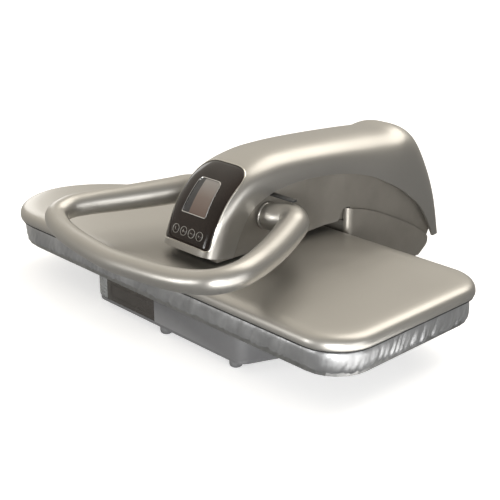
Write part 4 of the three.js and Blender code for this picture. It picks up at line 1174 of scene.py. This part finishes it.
HANDLE_HALF = [(0, -63, 29), (45, -60, 30), (88, -55, 31.5), (122, -48, 34.5), (148, -36, 39), (157, -12, 42), (152, 15, 43),
               (139, 50, 43.5), (123, 86, 45), (107, 118, 47.5), (98, 134, 49.5), (85, 143, 50), (71, 142.5, 48.5)]
BOSS_FACE = 50.3


class PRESS_OT_handle(bpy.types.Operator):
    """Loop handle that swells from the grip to its elbows"""

    bl_idname = "press.handle"
    bl_label = "Loop handle"

    def execute(self, context):
        handle, rings = settings("handle"), []
        right = [np.array([x, y, z + SHELL_TOP]) for x, y, z in HANDLE_HALF]
        right += [np.array([60, PIVOT_Y + 0.8, PIVOT_Z + 0.8]), np.array([BOSS_FACE, PIVOT_Y, PIVOT_Z])]
        left = [p * np.array([-1, 1, 1]) for p in right[:0:-1]]
        line = Line(left + right).spaced(300)
        tangents = np.gradient(line, axis=0)
        tangents /= np.linalg.norm(tangents, axis=1)[:, None]
        side = np.array([0, 0, 1.0])
        for i, (centre, along) in enumerate(zip(line, tangents)):
            side = side - along * side.dot(along)
            side /= np.linalg.norm(side)
            other = np.cross(along, side)
            out = abs(i / (len(line) - 1) - 0.5) * 2
            t = min(max((out - 0.15) / 0.8, 0), 1)
            n = min(max((out - 0.95) / 0.05, 0), 1)
            swell = handle.elbow_radius - handle.grip_radius
            radius = handle.grip_radius + swell * t * t * (3 - 2 * t) - ease(n)
            ring = circle(centre, side, other, radius, handle.sides)
            if out > 0.9:
                ring[:, 0] = np.sign(centre[0]) * np.maximum(np.abs(ring[:, 0]), BOSS_FACE)
            rings.append(ring)
        seated(lofted("loop_handle", rings, "silver_paint"), "handle", ("handle_loop",))
        return {"FINISHED"}


class PRESS_OT_base(bpy.types.Operator):
    """Base housing, feet, water tank, tower and rear fittings, with their screws"""

    bl_idname = "press.base"
    bl_label = "Base and tower"

    def execute(self, context):
        eased("housing", "base_housing", "grey_plastic", "base", 0.0016)
        eased("housing_floor", "base_bottom_cover", "grey_plastic", "base", 0.0009,
              top=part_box("base_housing")[0].z - 0.0002, also=("chassis_plate",))
        # The tower takes the darker copy of the silver paint: painted shade.
        eased("tower", "tower_housing", "dark_paint", "base", 0.0018)
        for place in ("front_left", "front_right", "middle_left", "middle_right", "rear_left", "rear_right"):
            self.foot(place)
        eased("tank_window", "water_tank", "smoky_plastic", "tank", 0.0010)
        eased("tank_cap", "tank_end", "pale_plastic", "tank", 0.0024)
        for piece, node, body in (("inlet", "mains_inlet", "base"), ("rocker_frame", "switch_frame", "base"),
                                  ("rocker", "power_switch", "rocker")):
            eased(piece, node, "black_plastic", body, 0.0006)
        self.window_frame()
        self.hinge_guard()
        self.mouth_sill()
        low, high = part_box("base_bottom_cover")
        places = ((-0.10, 0.03), (0.07, 0.03), (-0.10, 0.16), (0.10, 0.2), (0.0, 0.11), (0.03, 0.23))
        middle, under = (low.x + high.x) / 2, low.z - 0.0002
        screws = point_piece("cover_screws", [(middle + dx, low.y + dy, under) for dx, dy in places])
        run_tree(screws, studs_tree(), radius=settings("body").screw_radius, height=0.0008, taper=0.82,
                 material=finish("steel"))
        seated(screws, "base")
        return {"FINISHED"}

    def window_frame(self):
        """Raised frame on the tank's front face."""
        low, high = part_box("water_tank")
        left, right = (low.x - ARM_X) / MM + 7, (high.x - ARM_X) / MM - 8
        foot, top, face = low.z / MM + 5.5, high.z / MM - 5.5, (low.y - PLATE_Y) / MM
        corners = [(left, foot, 4), (right, foot, 4), (right, top, 4), (left, top, 4)]
        rings = []
        for inset, proud in ((0, -0.2), (0.15, 0.35), (0.6, 0.6), (1.5, 0.6), (1.95, 0.35), (2.1, -0.2)):
            line = rounded_outline(corners, 120, inset)
            rings.append(np.column_stack([line[:, 0], np.full(120, face - proud), line[:, 1]]))
        seated(lofted("tank_window_frame", rings, "smoky_plastic", False, False, True), "tank")

    def hinge_guard(self):
        """Curved guard that closes the tower's back, round the hinge, in the darker copy of the silver paint (painted
        shade).
        """
        half, near, far = 54.0, 48.0, 49.6
        section = [(-half, near), (-half, far - 0.4), (-half + 0.6, far), (half - 0.6, far), (half, far - 0.4), (half, near)]
        rings = []
        for degrees in np.linspace(-52, 36, 30):
            a = math.radians(degrees)
            y, z = math.cos(a), math.sin(a)
            rings.append(np.array([(x, HINGE_Y + r * y, HINGE_Z + r * z) for x, r in section]))
        seated(lofted("hinge_guard", rings, "dark_paint"), "base")

    def mouth_sill(self):
        """Low wall across the tower's mouth, under the arm, in the darker copy of the silver paint (painted shade)."""
        half, front, foot, high = 51.5, PLATE_DEPTH + 8, BOARD_TOP + 8, SHELL_TOP + 7.6
        section = [(3, foot), (0.1, foot), (0.1, high - 1.6), (0.5, high - 0.6), (1.5, high), (2.4, high - 0.6), (3, high - 1.6)]
        rings = [np.array([(x, front + y, z) for y, z in section]) for x in np.linspace(-half, half, 9)]
        seated(lofted("mouth_sill", rings, "dark_paint"), "base")

    def foot(self, place):
        low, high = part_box("foot_" + place)
        centre = np.array([((low.x + high.x) / 2 - ARM_X) / MM, ((low.y + high.y) / 2 - PLATE_Y) / MM, 0])
        r, h = (high.x - low.x) / 2 / MM, high.z / MM
        profile = [(0.4, 0.0), (r - 3.4, 0.0), (r - 2.0, 0.3), (r - 0.8, 1.3), (r - 0.2, 2.8), (r, 4.6), (r, h), (0.4, h)]
        made = turned("stand_" + place, centre, (0, 0, 1), profile, "grey_plastic")
        seated(made, "base", ("foot_" + place,))


class PRESS_OT_springs(bpy.types.Operator):
    """Counter springs wound round the hinge shaft"""

    bl_idname = "press.springs"
    bl_label = "Counter springs"

    def execute(self, context):
        spring, tree = settings("spring"), coil_tree()
        for side in ("left", "right"):
            low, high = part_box("counter_spring_" + side)
            made = point_piece("coil_" + side, [(0, 0, 0)])
            run = high.x - low.x - 2 * spring.wire
            run_tree(made, tree, turns=spring.turns, radius=(HINGE_HIGH.z - HINGE_LOW.z) / 2 + 0.006, run=run, wire=spring.wire,
                     place=(low.x + spring.wire, PLATE_Y + HINGE_Y * MM, HINGE_Z * MM), material=finish("steel"))
            turn_outward(made)
            smooth(made)
            seated(made, "base", ("counter_spring_" + side,))
        return {"FINISHED"}


class PRESS_OT_inner(bpy.types.Operator):
    """Finishes of the frame parts that are kept as they are"""

    bl_idname = "press.inner"
    bl_label = "Inner parts"

    def execute(self, context):
        slots = {part["node"]: part["material_slot"] for part in frame["record"]["subparts"]}
        for name, node in frame["nodes"].items():
            material = finish(SLOT_FINISH.get(slots[name], slots[name]))
            node.data.materials.clear()
            node.data.materials.append(material)
        return {"FINISHED"}


class PRESS_PT_panel(bpy.types.Panel):
    """Sizes, colours and makers of the press"""

    bl_idname = "PRESS_PT_panel"
    bl_label = "Ironing press"
    bl_space_type = "VIEW_3D"
    bl_region_type = "UI"
    bl_category = "Press"

    def draw(self, context):
        for title, key in (("Upper plate", "plate"), ("Board cover", "cover"), ("Handle", "handle"), ("Body", "body"),
                           ("Springs", "spring")):
            box = self.layout.box()
            box.label(text=title)
            group = settings(key)
            for name in group.__annotations__:
                box.prop(group, name)
        column = self.layout.column()
        for maker in MAKERS:
            column.operator(maker.bl_idname)


GROUPS = {"plate": PressPlateSettings, "cover": PressCoverSettings, "handle": PressHandleSettings,
          "body": PressBodySettings, "spring": PressSpringSettings}
MAKERS = (PRESS_OT_stage, PRESS_OT_inner, PRESS_OT_plate, PRESS_OT_board, PRESS_OT_base,
          PRESS_OT_springs, PRESS_OT_arm, PRESS_OT_panel, PRESS_OT_handle)


def register():
    for kind in (*GROUPS.values(), *MAKERS, PRESS_PT_panel):
        bpy.utils.register_class(kind)
    for key, kind in GROUPS.items():
        setattr(bpy.types.Scene, "press_" + key, PointerProperty(type=kind))


def unregister():
    for key in GROUPS:
        delattr(bpy.types.Scene, "press_" + key)
    for kind in reversed((*GROUPS.values(), *MAKERS, PRESS_PT_panel)):
        bpy.utils.unregister_class(kind)


def main():
    register()
    for maker in MAKERS:
        group, name = maker.bl_idname.split(".")
        if "FINISHED" not in getattr(getattr(bpy.ops, group), name)():
            raise RuntimeError(f"{maker.bl_label} was not finished")


if __name__ == "__main__":
    main()
